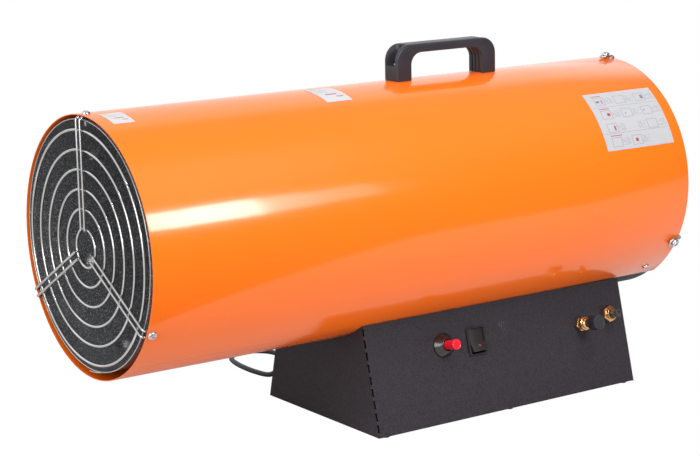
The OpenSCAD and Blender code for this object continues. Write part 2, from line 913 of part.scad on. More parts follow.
// The dished plate that closes the chamber's rear, with slots for the air
module burner_plate() {
    color("#8a8580") difference() {
        union() {
            along_x(plate_x, plate_x + plate_t) translate([0, chamber_z])
                ring2d(plate_r, cup_r + hole_gap);
            along_x(plate_x, plate_x + plate_flange) translate([0, chamber_z])
                ring2d(plate_r, plate_r - plate_t);
        }
        for (i = [0:plate_slots - 1])
            translate([plate_x - over, 0, chamber_z]) rotate([(i + 0.5) * 360 / plate_slots, 0, 0])
                translate([0, -plate_slot_w / 2, (cup_r + plate_r - plate_slot_l) / 2 + cup_rim])
                    cube([plate_t + 2 * over, plate_slot_w, plate_slot_l]);
        translate([plate_x - over, igniter_y, chamber_z + igniter_z]) rotate([0, 90, 0])
            cylinder(r = insulator_r + hole_gap, h = plate_t + 2 * over);
        translate([plate_x - over, -igniter_y, chamber_z + igniter_z]) rotate([0, 90, 0])
            cylinder(r = sensor_r + hole_gap, h = plate_t + 2 * over);
    }
}

module burner_cup() {
    color("#7d7874") difference() {
        turned(cup_front, chamber_z) polygon([
            [nozzle_tip_r + hole_gap, cup_l - cup_wall], [cup_r - cup_wall, cup_l - cup_wall],
            [cup_r - cup_wall, 0], [cup_r, 0], [cup_r, plate_x + plate_t + fold_gap - cup_front],
            [cup_r + cup_rim, plate_x + plate_t + fold_gap - cup_front],
            [cup_r + cup_rim, plate_x + plate_t + fold_gap + cup_wall - cup_front],
            [cup_r, plate_x + plate_t + fold_gap + cup_wall - cup_front],
            [cup_r, cup_l], [nozzle_tip_r + hole_gap, cup_l]]);
        for (i = [0:cup_holes - 1])
            translate([cup_front + cup_l / 4, 0, chamber_z]) rotate([i * 360 / cup_holes, 0, 0])
                translate([0, 0, cup_r - cup_wall - over])
                    cylinder(r = cup_hole_r, h = cup_wall + 2 * over);
    }
}

// A disc held in front of the cup by three flat legs inside its wall
module flame_spreader() {
    leg_out = sqrt(pow(cup_r - cup_wall - seat_gap, 2) - pow(spreader_leg_w / 2, 2));
    disc_front = cup_front - spreader_out - spreader_t;
    color("#6d6763") {
        disc_x(disc_front, disc_front + spreader_t, chamber_z, spreader_r);
        for (a = around_angles) translate([disc_front, 0, chamber_z]) rotate([a, 0, 0]) {
            translate([0, -spreader_leg_w / 2, leg_out - spreader_t])
                cube([spreader_out + spreader_in, spreader_leg_w, spreader_t]);
            translate([0, -spreader_leg_w / 2, spreader_r / 2])
                cube([spreader_t, spreader_leg_w, leg_out - spreader_r / 2]);
        }
    }
}

module gas_nozzle() {
    color("goldenrod") translate([cup_back, 0, chamber_z]) rotate([0, 90, 0]) difference() {
        union() {
            translate([0, 0, fold_gap]) hexagon(nozzle_af, nozzle_l);
            translate([0, 0, -nozzle_tip_l]) cylinder(r = nozzle_tip_r, h = nozzle_tip_l + over);
        }
        translate([0, 0, nozzle_l - nozzle_socket])
            cylinder(r = pipe_r + run_gap, h = nozzle_socket + over);
        translate([0, 0, -nozzle_tip_l - over]) cylinder(r = jet_r, h = nozzle_tip_l + nozzle_l);
    }
}

// A pipe's section
module pipe_ring() {
    ring2d(pipe_r, pipe_r - pipe_wall);
}

// From the side of the regulator valve, up through the casing and forwards to the nozzle
module gas_pipe() {
    color("#b87333") bent([
        [regulator_at - valve_body_r + link_socket, link_y, link_z], [pipe_x, link_y, link_z],
        [pipe_x, 0, link_z], [pipe_x, 0, chamber_z],
        [cup_back + nozzle_l - nozzle_socket + run_gap, 0, chamber_z]], pipe_bend) pipe_ring();
}

// The rubber ring where the gas pipe enters the tube
module pipe_grommet() {
    lip_r = grommet_r;
    throat_r = grommet_r - grommet_lip;
    color("#202020") around(180, pipe_x) difference() {
        union() {
            translate([0, 0, casing_r + seat_gap]) cylinder(r = lip_r, h = grommet_lip);
            translate([0, 0, casing_in_r - seat_gap - grommet_lip])
                cylinder(r = throat_r, h = casing_wall + 2 * seat_gap + 2 * grommet_lip);
        }
        translate([0, 0, casing_in_r - 2 * grommet_lip - over])
            cylinder(r = pipe_r + hole_gap, h = casing_wall + 6 * grommet_lip);
    }
}

module igniter_insulator() {
    color("white") translate([plate_x, igniter_y, chamber_z + igniter_z]) rotate([0, 90, 0])
        difference() {
            union() {
                translate([0, 0, -insulator_l / 3]) cylinder(r = insulator_r, h = insulator_l);
                translate([0, 0, plate_t + fold_gap])
                    cylinder(r = insulator_collar_r, h = insulator_collar_l);
            }
            translate([0, 0, -insulator_l]) cylinder(r = rod_r + run_gap, h = 3 * insulator_l);
        }
}

module igniter_rod() {
    x0 = plate_x - insulator_l / 3 - rod_out;
    x1 = plate_x + insulator_l * 2 / 3 + rod_hook;
    color("silver") bent([[x1, igniter_y, chamber_z + igniter_z], [x0, igniter_y, chamber_z + igniter_z],
        [x0, igniter_y - rod_hook, chamber_z + igniter_z]], rod_bend) circle(rod_r);
}

module thermocouple() {
    color("#a08060") translate([plate_x, -igniter_y, chamber_z + igniter_z]) rotate([0, 90, 0]) {
        translate([0, 0, -sensor_l * 0.7]) cylinder(r = sensor_r, h = sensor_l);
        translate([0, 0, plate_t + fold_gap]) cylinder(r = sensor_collar_r, h = insulator_collar_l);
    }
}

// Overheat cut-out, on a small plate against the inside of the casing
module limit_thermostat() {
    plate_z = casing_in_r - seat_gap - thermostat_plate_t - fold_gap;
    color("#b0a890") around(thermostat_angle, thermostat_x) {
        translate([-thermostat_plate_l / 2, -thermostat_plate_w / 2, plate_z])
            cube([thermostat_plate_l, thermostat_plate_w, thermostat_plate_t]);
        translate([0, 0, plate_z - thermostat_h]) cylinder(r = thermostat_r, h = thermostat_h);
    }
}

// The base's section in (Y, Z), drawn in by an inset, with the tube's seat cut out
module seat_cut() {
    translate([0, axis_z]) circle(casing_r + seat_gap);
}

module base_section(inset) {
    difference() {
        polygon([[inset - base_half, foot_h], [base_half - inset, foot_h],
            [seat_half - inset, base_top], [inset - seat_half, base_top]]);
        seat_cut();
    }
}

// The section of one side, some way in from the outer face
module side_section(side, inset, run) {
    difference() {
        polygon([[side * (base_half - inset), foot_h], [side * (base_half - inset - run), foot_h],
            [side * (seat_half - inset - run), base_top], [side * (seat_half - inset), base_top]]);
        seat_cut();
    }
}

// The bottom edge of a side, folded inwards
module bottom_flange(side, x0, x1) {
    along_x(x0, x1) intersection() {
        side_section(side, 0, flange_w);
        translate([-base_half, foot_h]) square([base_w, sheet_t]);
    }
}

module stitch_slots() {
    for (i = [0:slot_count - 1])
        on_panel(base_front - over, slot_first + i * slot_pitch)
            translate([0, -slot_l / 2, -sheet_t - hole_gap])
                cube([over + slot_w, slot_l, sheet_t + over]);
}

module corner_screw_places() {
    for (s = corner_screw_heights) {
        on_back(base_front + sheet_t + flange_w / 2, s) children();
        z = foot_h + s;
        y = base_half - s * tan(panel_tilt) - flange_w / 2;
        translate([base_rear, -y, z]) rotate([0, 90, 0]) children();
    }
}

module foot_places() {
    for (x = foot_xs, side = [-1, 1]) translate([x, side * (base_half - foot_inset), 0]) children();
}

module base_screw_places() {
    for (x = base_screw_xs, side = [-1, 1])
        translate([x, side * (base_half - base_screw_inset), foot_h]) children();
}

module base_fixing_holes() {
    foot_places() cylinder(r = foot_stem_r + hole_gap, h = foot_h + sheet_t + over);
    base_screw_places() {
        translate([0, 0, -fold_gap]) cylinder(r1 = base_head_d / 2 + hole_gap,
            r2 = base_screw_d / 2 + hole_gap, h = sheet_t * 0.8);
        cylinder(r = base_screw_d / 2 + hole_gap, h = 3 * sheet_t);
    }
}

// The -Y side and the front end, one sheet folded along the slotted edge
module control_panel() {
    side_rear = base_rear - sheet_t - fold_gap;
    color("#3b373b") difference() {
        union() {
            along_x(base_front, side_rear) side_section(-1, 0, sheet_run);
            along_x(base_front, base_front + sheet_t) base_section(0);
            along_x(side_rear - sheet_t, side_rear) side_section(-1, 0, flange_w);
            along_x(base_front, base_front + flange_w + sheet_t) intersection() {
                side_section(1, sheet_run + fold_gap, sheet_run);
                translate([-base_half, base_plate_z]) square([base_w, base_h]);
            }
            bottom_flange(-1, base_front, side_rear);
        }
        stitch_slots();
        on_panel(base_front + igniter_x, igniter_s) screw_hole(2 * barrel_r, over);
        on_panel(base_front + switch_x, switch_s) translate([-switch_body_w / 2 - hole_gap,
            -switch_body_h / 2 - hole_gap, -over])
            cube([switch_body_w + 2 * hole_gap, switch_body_h + 2 * hole_gap, 2 * over]);
        on_panel(regulator_at, regulator_s) screw_hole(2 * valve_thread_r, over);
        on_panel(safety_at, safety_s) screw_hole(2 * valve_thread_r, over);
        corner_screw_places() screw_hole(corner_screw_d, corner_screw_l);
        base_fixing_holes();
    }
}

// The +Y side and the rear end, one folded sheet
module back_panel() {
    side_front = base_front + sheet_t + fold_gap;
    color("#3b373b") difference() {
        union() {
            along_x(side_front, base_rear) side_section(1, 0, sheet_run);
            along_x(base_rear - sheet_t, base_rear) base_section(0);
            bottom_flange(1, side_front, base_rear);
        }
        corner_screw_places() screw_hole(corner_screw_d, corner_screw_l);
        on_back(gland_x, gland_s) screw_hole(2 * gland_hole_r, over);
        translate([base_rear - over, inlet_y, inlet_z]) rotate([0, 90, 0])
            cylinder(r = inlet_d / 2 + hole_gap, h = 2 * over);
        base_fixing_holes();
    }
}

module corner_screws() {
    color("#2a2a2c") corner_screw_places() translate([0, 0, fold_gap])
        pan_screw(corner_screw_d, corner_head_d, corner_head_h, corner_screw_l);
}

module base_plate() {
    inset = 2 * sheet_run + 2 * fold_gap + sheet_t * tan(panel_tilt) * 2;
    color("#454147") difference() {
        translate([base_front + sheet_t + fold_gap, inset - base_half, base_plate_z])
            cube([base_l - 3 * sheet_t - 3 * fold_gap, base_w - 2 * inset, sheet_t]);
        base_screw_places() screw_hole(base_screw_d, 3 * sheet_t);
        foot_places() cylinder(r = foot_stem_r + hole_gap, h = base_plate_z + 2 * sheet_t);
        for (i = [0:base_vents - 1])
            translate([base_rear - (i + 2) * base_vent_pitch, -base_vent_l / 2, 0])
                cube([base_vent_w, base_vent_l, base_plate_z + 2 * sheet_t]);
    }
}

// Countersunk screws, flush with the underside of the base
module base_screws() {
    color("silver") base_screw_places() {
        cylinder(r1 = base_head_d / 2, r2 = base_screw_d / 2, h = sheet_t * 0.8);
        cylinder(r = base_screw_d / 2, h = 3 * sheet_t);
    }
}

module base_feet() {
    color("#181818") foot_places() {
        cylinder(r = foot_d / 2, h = foot_h);
        cylinder(r = foot_stem_r, h = foot_h + 2 * sheet_t);
    }
}

// Straps under the tube, with legs down the inside of both base sides
module strap_leg_section(side) {
    outer = base_half - sheet_run - fold_gap;
    heights = [base_top - strap_leg, base_top - strap_t / 2];
    polygon([for (p = [[0, 0], [0, 1], [1, 1], [1, 0]])
        let(z = heights[p.y], y = outer - (z - foot_h) * tan(panel_tilt) - p.x * strap_t / cos(panel_tilt))
        [side * y, z]]);
}

module saddle_straps() {
    color("#5a585c") difference() {
        for (x = strap_xs) {
            band(x, x + strap_w, casing_r + seat_gap + strap_t, strap_t,
                180 - strap_angle, 180 + strap_angle);
            for (side = [-1, 1]) difference() {
                along_x(x, x + strap_w) strap_leg_section(side);
                disc_x(casing_front, casing_rear, axis_z, casing_r + seat_gap + strap_t / 2);
            }
        }
        strap_bolt_places() screw_hole(strap_bolt_d, casing_wall + strap_t + over);
    }
}

module saddle_bolts() {
    color("silver") strap_bolt_places() translate([0, 0, seat_gap])
        pan_screw(strap_bolt_d, handle_head_d, strap_head_h,
            casing_wall + strap_t + nut_h + 4 * seat_gap);
}

// The black cone round the igniter's button, with a threaded barrel behind the panel
module piezo_bezel() {
    color("#141414") on_panel(base_front + igniter_x, igniter_s) difference() {
        union() {
            translate([0, 0, fold_gap]) cylinder(r = cone_r, h = cone_rim);
            translate([0, 0, cone_rim]) cylinder(r1 = cone_r, r2 = cone_top_r, h = cone_h - cone_rim);
            translate([0, 0, -barrel_l]) cylinder(r = barrel_r, h = barrel_l + cone_rim);
        }
        translate([0, 0, -button_root - button_travel - over])
            cylinder(r = button_r + slide_gap, h = button_root + button_travel + cone_h + 2 * over);
    }
}

module piezo_nut() {
    color("#141414") on_panel(base_front + igniter_x, igniter_s)
        translate([0, 0, -sheet_t - fold_gap - piezo_nut_h]) difference() {
            hexagon(piezo_nut_af, piezo_nut_h);
            translate([0, 0, -over]) cylinder(r = barrel_r + hole_gap, h = piezo_nut_h + 2 * over);
        }
}

module piezo_button() {
    color("#e01428") on_panel(base_front + igniter_x, igniter_s) difference() {
        union() {
            translate([0, 0, -button_root]) cylinder(r = button_r, h = button_root + button_out);
            translate([0, 0, button_out - button_lip]) cylinder(r1 = button_r, r2 = button_lip_r,
                h = button_lip / 2);
            translate([0, 0, button_out - button_lip / 2]) cylinder(r = button_lip_r,
                h = button_lip / 2);
        }
        translate([0, 0, button_out - button_dish]) cylinder(r1 = button_r * 0.6,
            r2 = button_r * 0.8, h = button_dish + fold_gap);
    }
}

module switch_frame() {
    color("#1a1a1b") on_panel(base_front + switch_x, switch_s) difference() {
        union() {
            translate([-switch_w / 2, -switch_h / 2, fold_gap]) cube([switch_w, switch_h, switch_frame_t]);
            translate([-switch_body_w / 2, -switch_body_h / 2, -switch_depth])
                cube([switch_body_w, switch_body_h, switch_depth + switch_frame_t / 2]);
        }
        translate([-switch_window_w / 2, -switch_window_h / 2, -switch_cavity])
            cube([switch_window_w, switch_window_h, switch_cavity + switch_frame_t + over]);
        translate([-switch_body_w / 2 - over, 0, rocker_pivot]) rotate([0, 90, 0])
            cylinder(r = rocker_pin_r + run_gap, h = switch_body_w + 2 * over);
    }
}

// Two faces that meet in a shallow valley; at rest the upper half is pressed in
module switch_rocker() {
    rise = rocker_half * tan(rocker_tip);
    color("#161616") on_panel(base_front + switch_x, switch_s) translate([0, 0, rocker_pivot])
        rotate([-rocker_tip, 0, 0]) {
            translate([-rocker_w / 2, 0, 0]) rotate([90, 0, 90]) linear_extrude(rocker_w)
                translate([0, -rocker_pivot]) polygon([
                    [0, rocker_valley], [rocker_half, rocker_valley + rise],
                    [rocker_half * 0.9, -rocker_depth * 0.6], [0, -rocker_depth],
                    [-rocker_half * 0.9, -rocker_depth * 0.6], [-rocker_half, rocker_valley + rise]]);
            translate([-rocker_w / 2 - rocker_pin_l, 0, 0]) rotate([0, 90, 0])
                cylinder(r = rocker_pin_r, h = rocker_w + 2 * rocker_pin_l);
        }
}

// The turned and threaded part of a valve behind the panel, with its side sockets
module valve_body() {
    back = -sheet_t - valve_back_gap;
    translate([0, 0, back]) cylinder(r = valve_thread_r, h = sheet_t + 2 * valve_back_gap);
    translate([0, 0, back - valve_body_l]) cylinder(r = valve_body_r, h = valve_body_l);
}

module link_socket_cut(x0, x1) {
    translate([x0, link_y, link_z]) rotate([0, 90, 0])
        cylinder(r = pipe_r + run_gap, h = x1 - x0);
}

module regulator_valve() {
    color("#b8893a") difference() {
        on_panel(regulator_at, regulator_s) difference() {
            union() {
                valve_body();
                translate([0, 0, fold_gap]) hexagon(regulator_af, regulator_hex);
                cylinder(r = regulator_neck_r, h = regulator_cone_at);
                translate([0, 0, regulator_collar_at])
                    cylinder(r = regulator_collar_r, h = regulator_cone_at - regulator_collar_at);
                translate([0, 0, regulator_cone_at]) cylinder(r1 = regulator_collar_r * 0.85,
                    r2 = regulator_stem_r, h = regulator_stem_at - regulator_cone_at);
                translate([0, 0, regulator_stem_at]) cylinder(r = regulator_stem_r,
                    h = knob_out - knob_l - regulator_stem_at - seat_gap);
            }
            translate([0, 0, -spindle_depth - over])
                cylinder(r = spindle_r + run_gap, h = knob_out + spindle_depth);
        }
        link_socket_cut(regulator_at - valve_body_r - over, regulator_at - valve_body_r + link_socket);
        link_socket_cut(regulator_at + valve_body_r - link_socket, regulator_at + valve_body_r + over);
    }
}

module regulator_knob() {
    color("#202022") on_panel(regulator_at, regulator_s)
        translate([0, 0, knob_out - knob_l]) difference() {
            cylinder(r = knob_d / 2, h = knob_l);
            for (i = [0:knob_notches - 1])
                rotate([0, 0, i * 360 / knob_notches]) translate([knob_d / 2, 0, -over])
                    cylinder(r = notch_r, h = knob_l + 2 * over, $fn = 16);
            translate([0, 0, -over]) cylinder(r = spindle_r + run_gap, h = knob_l / 2 + over);
        }
}

module regulator_spindle() {
    color("silver") on_panel(regulator_at, regulator_s)
        translate([0, 0, -spindle_depth])
            cylinder(r = spindle_r, h = spindle_depth + knob_out - knob_l / 2 - fold_gap);
}

module safety_valve() {
    color("#b8893a") difference() {
        on_panel(safety_at, safety_s) difference() {
            union() {
                valve_body();
                translate([0, 0, fold_gap]) hexagon(safety_af, safety_hex);
                cylinder(r = safety_step_r, h = safety_hex + safety_step);
            }
            translate([0, 0, -pin_depth - pin_travel - over]) cylinder(r = pin_r + slide_gap,
                h = pin_depth + pin_travel + safety_hex + safety_step + 2 * over);
        }
        link_socket_cut(safety_at - valve_body_r - over, safety_at - valve_body_r + link_socket);
        bent(inlet_points, elbow_bend) circle(pipe_r + run_gap);
    }
}

// A dark pin whose end is a hollow ring
module safety_pin() {
    color("#3a3a3c") on_panel(safety_at, safety_s) difference() {
        union() {
            translate([0, 0, -pin_depth]) cylinder(r = pin_r, h = pin_depth + pin_out - fold_gap);
            translate([0, 0, pin_out - pin_head_l]) cylinder(r = pin_head_r, h = pin_head_l);
        }
        translate([0, 0, pin_out - pin_hollow]) cylinder(r = pin_hollow_r, h = pin_hollow + over);
    }
}

module valve_link_pipe() {
    x0 = regulator_at + valve_body_r - link_socket + run_gap;
    x1 = safety_at - valve_body_r + link_socket - run_gap;
    color("#b87333") straight([x0, link_y, link_z], [x1, link_y, link_z]) pipe_ring();
}

// From the inlet, forwards and down into the top of the safety valve
module inlet_pipe() {
    color("#b87333") bent(inlet_points, elbow_bend) pipe_ring();
}

module gas_inlet() {
    color("#b8893a") translate([base_rear, inlet_y, inlet_z]) rotate([0, 90, 0]) difference() {
        union() {
            translate([0, 0, -sheet_t - inlet_inside])
                cylinder(r = inlet_d / 2, h = sheet_t + inlet_inside + inlet_l);
            translate([0, 0, -sheet_t - fold_gap - nut_h]) hexagon(inlet_af, nut_h);
            translate([0, 0, fold_gap]) hexagon(inlet_af, inlet_hex);
        }
        translate([0, 0, -sheet_t - inlet_inside - over])
            cylinder(r = pipe_r + run_gap, h = link_socket + over);
        translate([0, 0, -sheet_t - inlet_inside]) cylinder(r = inlet_bore_r - run_gap, h = inlet_l * 2);
    }
}

module terminal_block() {
    block_z = base_plate_z + sheet_t + fold_gap;
    color("#d8d4c8") translate([block_x, block_y, block_z]) difference() {
        cube([block_l, block_w, block_h]);
        for (i = [0:block_poles - 1], y = [block_w / 4, block_w * 3 / 4])
            translate([(i + 0.5) * block_l / block_poles, y, block_h / 2])
                cylinder(r = block_hole_r, h = block_h);
    }
}

// The strain relief: a ribbed taper on a round flange
module cord_gland() {
    color("#141414") on_back(gland_x, gland_s) difference() {
        union() {
            translate([0, 0, -sheet_t - gland_inside])
                cylinder(r = gland_hole_r, h = sheet_t + gland_inside + over);
            translate([0, 0, fold_gap]) cylinder(r = gland_flange_r, h = gland_flange);
            translate([0, 0, gland_flange]) cylinder(r1 = relief_root_r, r2 = relief_tip_r, h = relief_l);
        }
        for (i = [1:relief_rings])
            translate([0, 0, gland_flange + i * relief_l / (relief_rings + 1)]) difference() {
                cylinder(r = 2 * relief_root_r, h = relief_groove * 2);
                translate([0, 0, -over]) cylinder(h = relief_groove * 2 + 2 * over,
                    r = relief_root_r - relief_groove
                        - i * (relief_root_r - relief_tip_r) / (relief_rings + 1));
            }
    }
}

// A tube swept along points: one ring of corners at each, square to the way there
function tube_way(p, i) = unit(p[min(i + 1, len(p) - 1)] - p[max(i - 1, 0)]);
function tube_ring(p, i, r, sides) =
    let(t = tube_way(p, i), u = unit(cross([0, 0, 1], t)), v = cross(t, u))
    [for (k = [0:sides - 1]) p[i] + r * cos(k * 360 / sides) * u + r * sin(k * 360 / sides) * v];

module tube(p, r, sides) {
    rings = len(p);
    corners = [for (i = [0:rings - 1]) each tube_ring(p, i, r, sides)];
    walls = [for (i = [0:rings - 2], k = [0:sides - 1])
        let(a = i * sides + k, b = i * sides + (k + 1) % sides)
        each [[a, a + sides, b + sides], [a, b + sides, b]]];
    first = [for (k = [1:sides - 2]) [0, k, k + 1]];
    far = (rings - 1) * sides;
    last = [for (k = [1:sides - 2]) [far, far + k + 1, far + k]];
    polyhedron(points = corners, faces = concat(walls, first, last));
}

module power_cord() {
    color("#141414") tube(cord_points, cord_r, tube_sides);
}

// The coil's radius and height after t turns
coil_total = 2 * coil_turns + coil_climb;
function coil_radius(t) = coil_out_r - coil_pitch * (t < coil_total / 2 ? t : coil_total - t);
function coil_height(t) = let(f = min(1, max(0, (t - coil_turns) / coil_climb)))
    coil_low_z + coil_pitch * (1 - cos(180 * f)) / 2;
function coil_point(t) = let(a = coil_start_angle + 360 * t, r = coil_radius(t))
    [coil_centre.x + r * cos(a), coil_centre.y + r * sin(a), coil_height(t)];
coil_last = round(coil_total * coil_rings);
coil_loop = [for (i = [0:coil_last]) coil_point(i / coil_rings)];
coil_points = concat([coil_loop[0] + [0, cord_d, 0]], coil_loop, [coil_loop[coil_last] + [cord_d, 0, 0]]);
coil_gap = min([for (i = [0:coil_last], j = [i + coil_rings / 2:1:coil_last])
    norm(coil_loop[i] - coil_loop[j])]) - cord_d;
echo(coil_gap = coil_gap);

module cord_coil() {
    color("#141414") tube(coil_points, cord_r, coil_sides);
}

module cord_tail() {
    color("#141414") tube(tail_points, cord_r, tube_sides);
}

// A two-pin earthed plug lying on its flat side
module plug() {
    body_x = plug_relief_l + plug_neck_l;
    translate([plug_x, plug_y, plug_z]) {
        color("#161616") rotate([0, 90, 0]) {
            cylinder(r1 = relief_tip_r, r2 = plug_relief_r, h = plug_relief_l);
            intersection() {
                union() {
                    translate([0, 0, plug_relief_l]) cylinder(r1 = plug_neck_r, r2 = plug_r, h = plug_neck_l);
                    translate([0, 0, body_x]) cylinder(r = plug_r, h = plug_body_l);
                }
                translate([-plug_half_h, -plug_r, 0])
                    cube([2 * plug_half_h, 2 * plug_r, body_x + plug_body_l]);
            }
        }
        color("silver") {
            for (side = [-1, 1]) translate([body_x + plug_body_l - over, side * plug_pin_gap, 0])
                rotate([0, 90, 0]) cylinder(r = plug_pin_r, h = plug_pin_l + over);
            for (side = [-1, 1])
                translate([body_x + plug_body_l - clip_l, side * plug_r - clip_t, -clip_w / 2])
                    cube([clip_l, 2 * clip_t, clip_w]);
        }
    }
}

outer_casing();
casing_cover();
cover_screws();
combustion_chamber();
front_grille();
grille_screws();
rear_guard();
guard_screws();
handle();
handle_screws();
hex_nuts();
instruction_label();
small_labels();
motor();
motor_shaft();
fan_wheel();
motor_bracket();
motor_screws();
burner_plate();
burner_cup();
flame_spreader();
gas_nozzle();
gas_pipe();
pipe_grommet();
igniter_insulator();
igniter_rod();
thermocouple();
limit_thermostat();
control_panel();
back_panel();
corner_screws();
base_plate();
base_screws();
base_feet();
saddle_straps();
saddle_bolts();
piezo_bezel();
piezo_nut();
piezo_button();
switch_frame();
switch_rocker();
regulator_valve();
regulator_knob();
regulator_spindle();
safety_valve();
safety_pin();
valve_link_pipe();
inlet_pipe();
gas_inlet();
terminal_block();
cord_gland();
power_cord();
cord_coil();
cord_tail();
plug();
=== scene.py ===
"""Looks of a gas forced air heater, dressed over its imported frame. Metres, +Z up."""
import json
import logging
import math
from dataclasses import dataclass, field
from enum import Enum
from functools import lru_cache
from typing import Sequence

import bmesh
import bpy
from mathutils import Matrix, Vector


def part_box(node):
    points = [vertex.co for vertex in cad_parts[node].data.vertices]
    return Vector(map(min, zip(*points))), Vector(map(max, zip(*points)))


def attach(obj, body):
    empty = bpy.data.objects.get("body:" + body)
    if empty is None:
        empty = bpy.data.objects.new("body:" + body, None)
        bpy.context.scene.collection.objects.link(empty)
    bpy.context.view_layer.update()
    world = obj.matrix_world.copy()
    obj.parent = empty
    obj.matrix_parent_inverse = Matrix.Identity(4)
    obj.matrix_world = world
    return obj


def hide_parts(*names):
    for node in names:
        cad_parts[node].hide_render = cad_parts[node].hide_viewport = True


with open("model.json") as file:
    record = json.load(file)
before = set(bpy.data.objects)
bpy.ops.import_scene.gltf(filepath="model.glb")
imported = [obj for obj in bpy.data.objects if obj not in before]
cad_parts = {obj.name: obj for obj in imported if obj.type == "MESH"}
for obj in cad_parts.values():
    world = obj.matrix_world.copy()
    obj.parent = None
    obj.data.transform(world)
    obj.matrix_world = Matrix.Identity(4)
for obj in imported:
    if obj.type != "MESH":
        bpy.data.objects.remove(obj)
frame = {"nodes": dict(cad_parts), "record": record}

LOG = logging.getLogger("heater")
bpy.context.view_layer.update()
PRINT_MAP = "print"
Point2 = tuple[float, float]
Point3 = tuple[float, float, float]
Colour = tuple[float, float, float]
Section = tuple[Point2, ...]
Box = tuple[float, ...]
Mesh = bmesh.types.BMesh
Socket = bpy.types.NodeSocket


def moved(x: float = 0, y: float = 0, z: float = 0) -> Matrix:
    """Returns a shift."""
    return Matrix.Translation((x, y, z))


def turned(degrees: float, axis: str) -> Matrix:
    """Returns a turn about a main axis, "X", "Y" or "Z"."""
    return Matrix.Rotation(math.radians(degrees), 4, axis)


@dataclass(frozen=True)
class Body:
    """Where the heater's main surfaces lie, read from the frame."""

    casing_r: float
    half: float
    axis_z: float
    chamber_z: float
    base_low: Vector
    base_high: Vector
    wall: float = 0.001
    lift: float = 0.002
    panel_tilt: float = 13.989
    foot_h: float = 0.0012

    @classmethod
    def measured(cls) -> "Body":
        """Returns the places that the frame's own boxes give.

        Returns:
            The heater's places.
        """
        low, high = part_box("outer_casing")
        panel_low, panel_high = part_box("control_panel")
        back_low, back_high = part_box("back_panel")
        radius = (high[1] - low[1]) / 2
        axis_z = high[2] - radius
        return cls(
            casing_r=radius,
            half=(high[0] - low[0]) / 2,
            axis_z=axis_z,
            chamber_z=axis_z + cls.lift,
            base_low=Vector((panel_low[0], panel_low[1], panel_low[2])),
            base_high=Vector((back_high[0], back_high[1], panel_high[2])),
        )

    def around(self, angle: float, x: float) -> Matrix:
        """Returns a place on the tube's axis whose +Z points out at an angle from the top towards -Y."""
        return moved(x, 0, self.axis_z) @ turned(angle, "X")

    def along(self, x: float, z: float) -> Matrix:
        """Returns a place at height z on the middle plane, with +Z along the tube's +X."""
        return moved(x, 0, z) @ turned(90, "Y")

    def on_panel(self, x: float, rise: float) -> Matrix:
        """Returns a place on the control panel: x along it, y up it and z out of it.

        Args:
            x: How far along the base it lies.
            rise: How far up the sloping side it lies.

        Returns:
            The place.
        """
        tilt = math.radians(self.panel_tilt)
        return moved(x, self.base_low.y + rise * math.sin(tilt), self.foot_h + rise * math.cos(tilt)) \
            @ turned(90 - self.panel_tilt, "X")

    def on_back(self, x: float, rise: float) -> Matrix:
        """Returns the same kind of place on the back panel.

        Args:
            x: How far along the base it lies.
            rise: How far up the sloping side it lies.

        Returns:
            The place.
        """
        tilt = math.radians(self.panel_tilt)
        return moved(x, self.base_high.y - rise * math.sin(tilt), self.foot_h + rise * math.cos(tilt)) \
            @ turned(self.panel_tilt - 90, "X") @ turned(180, "Z")


BODY = Body.measured()


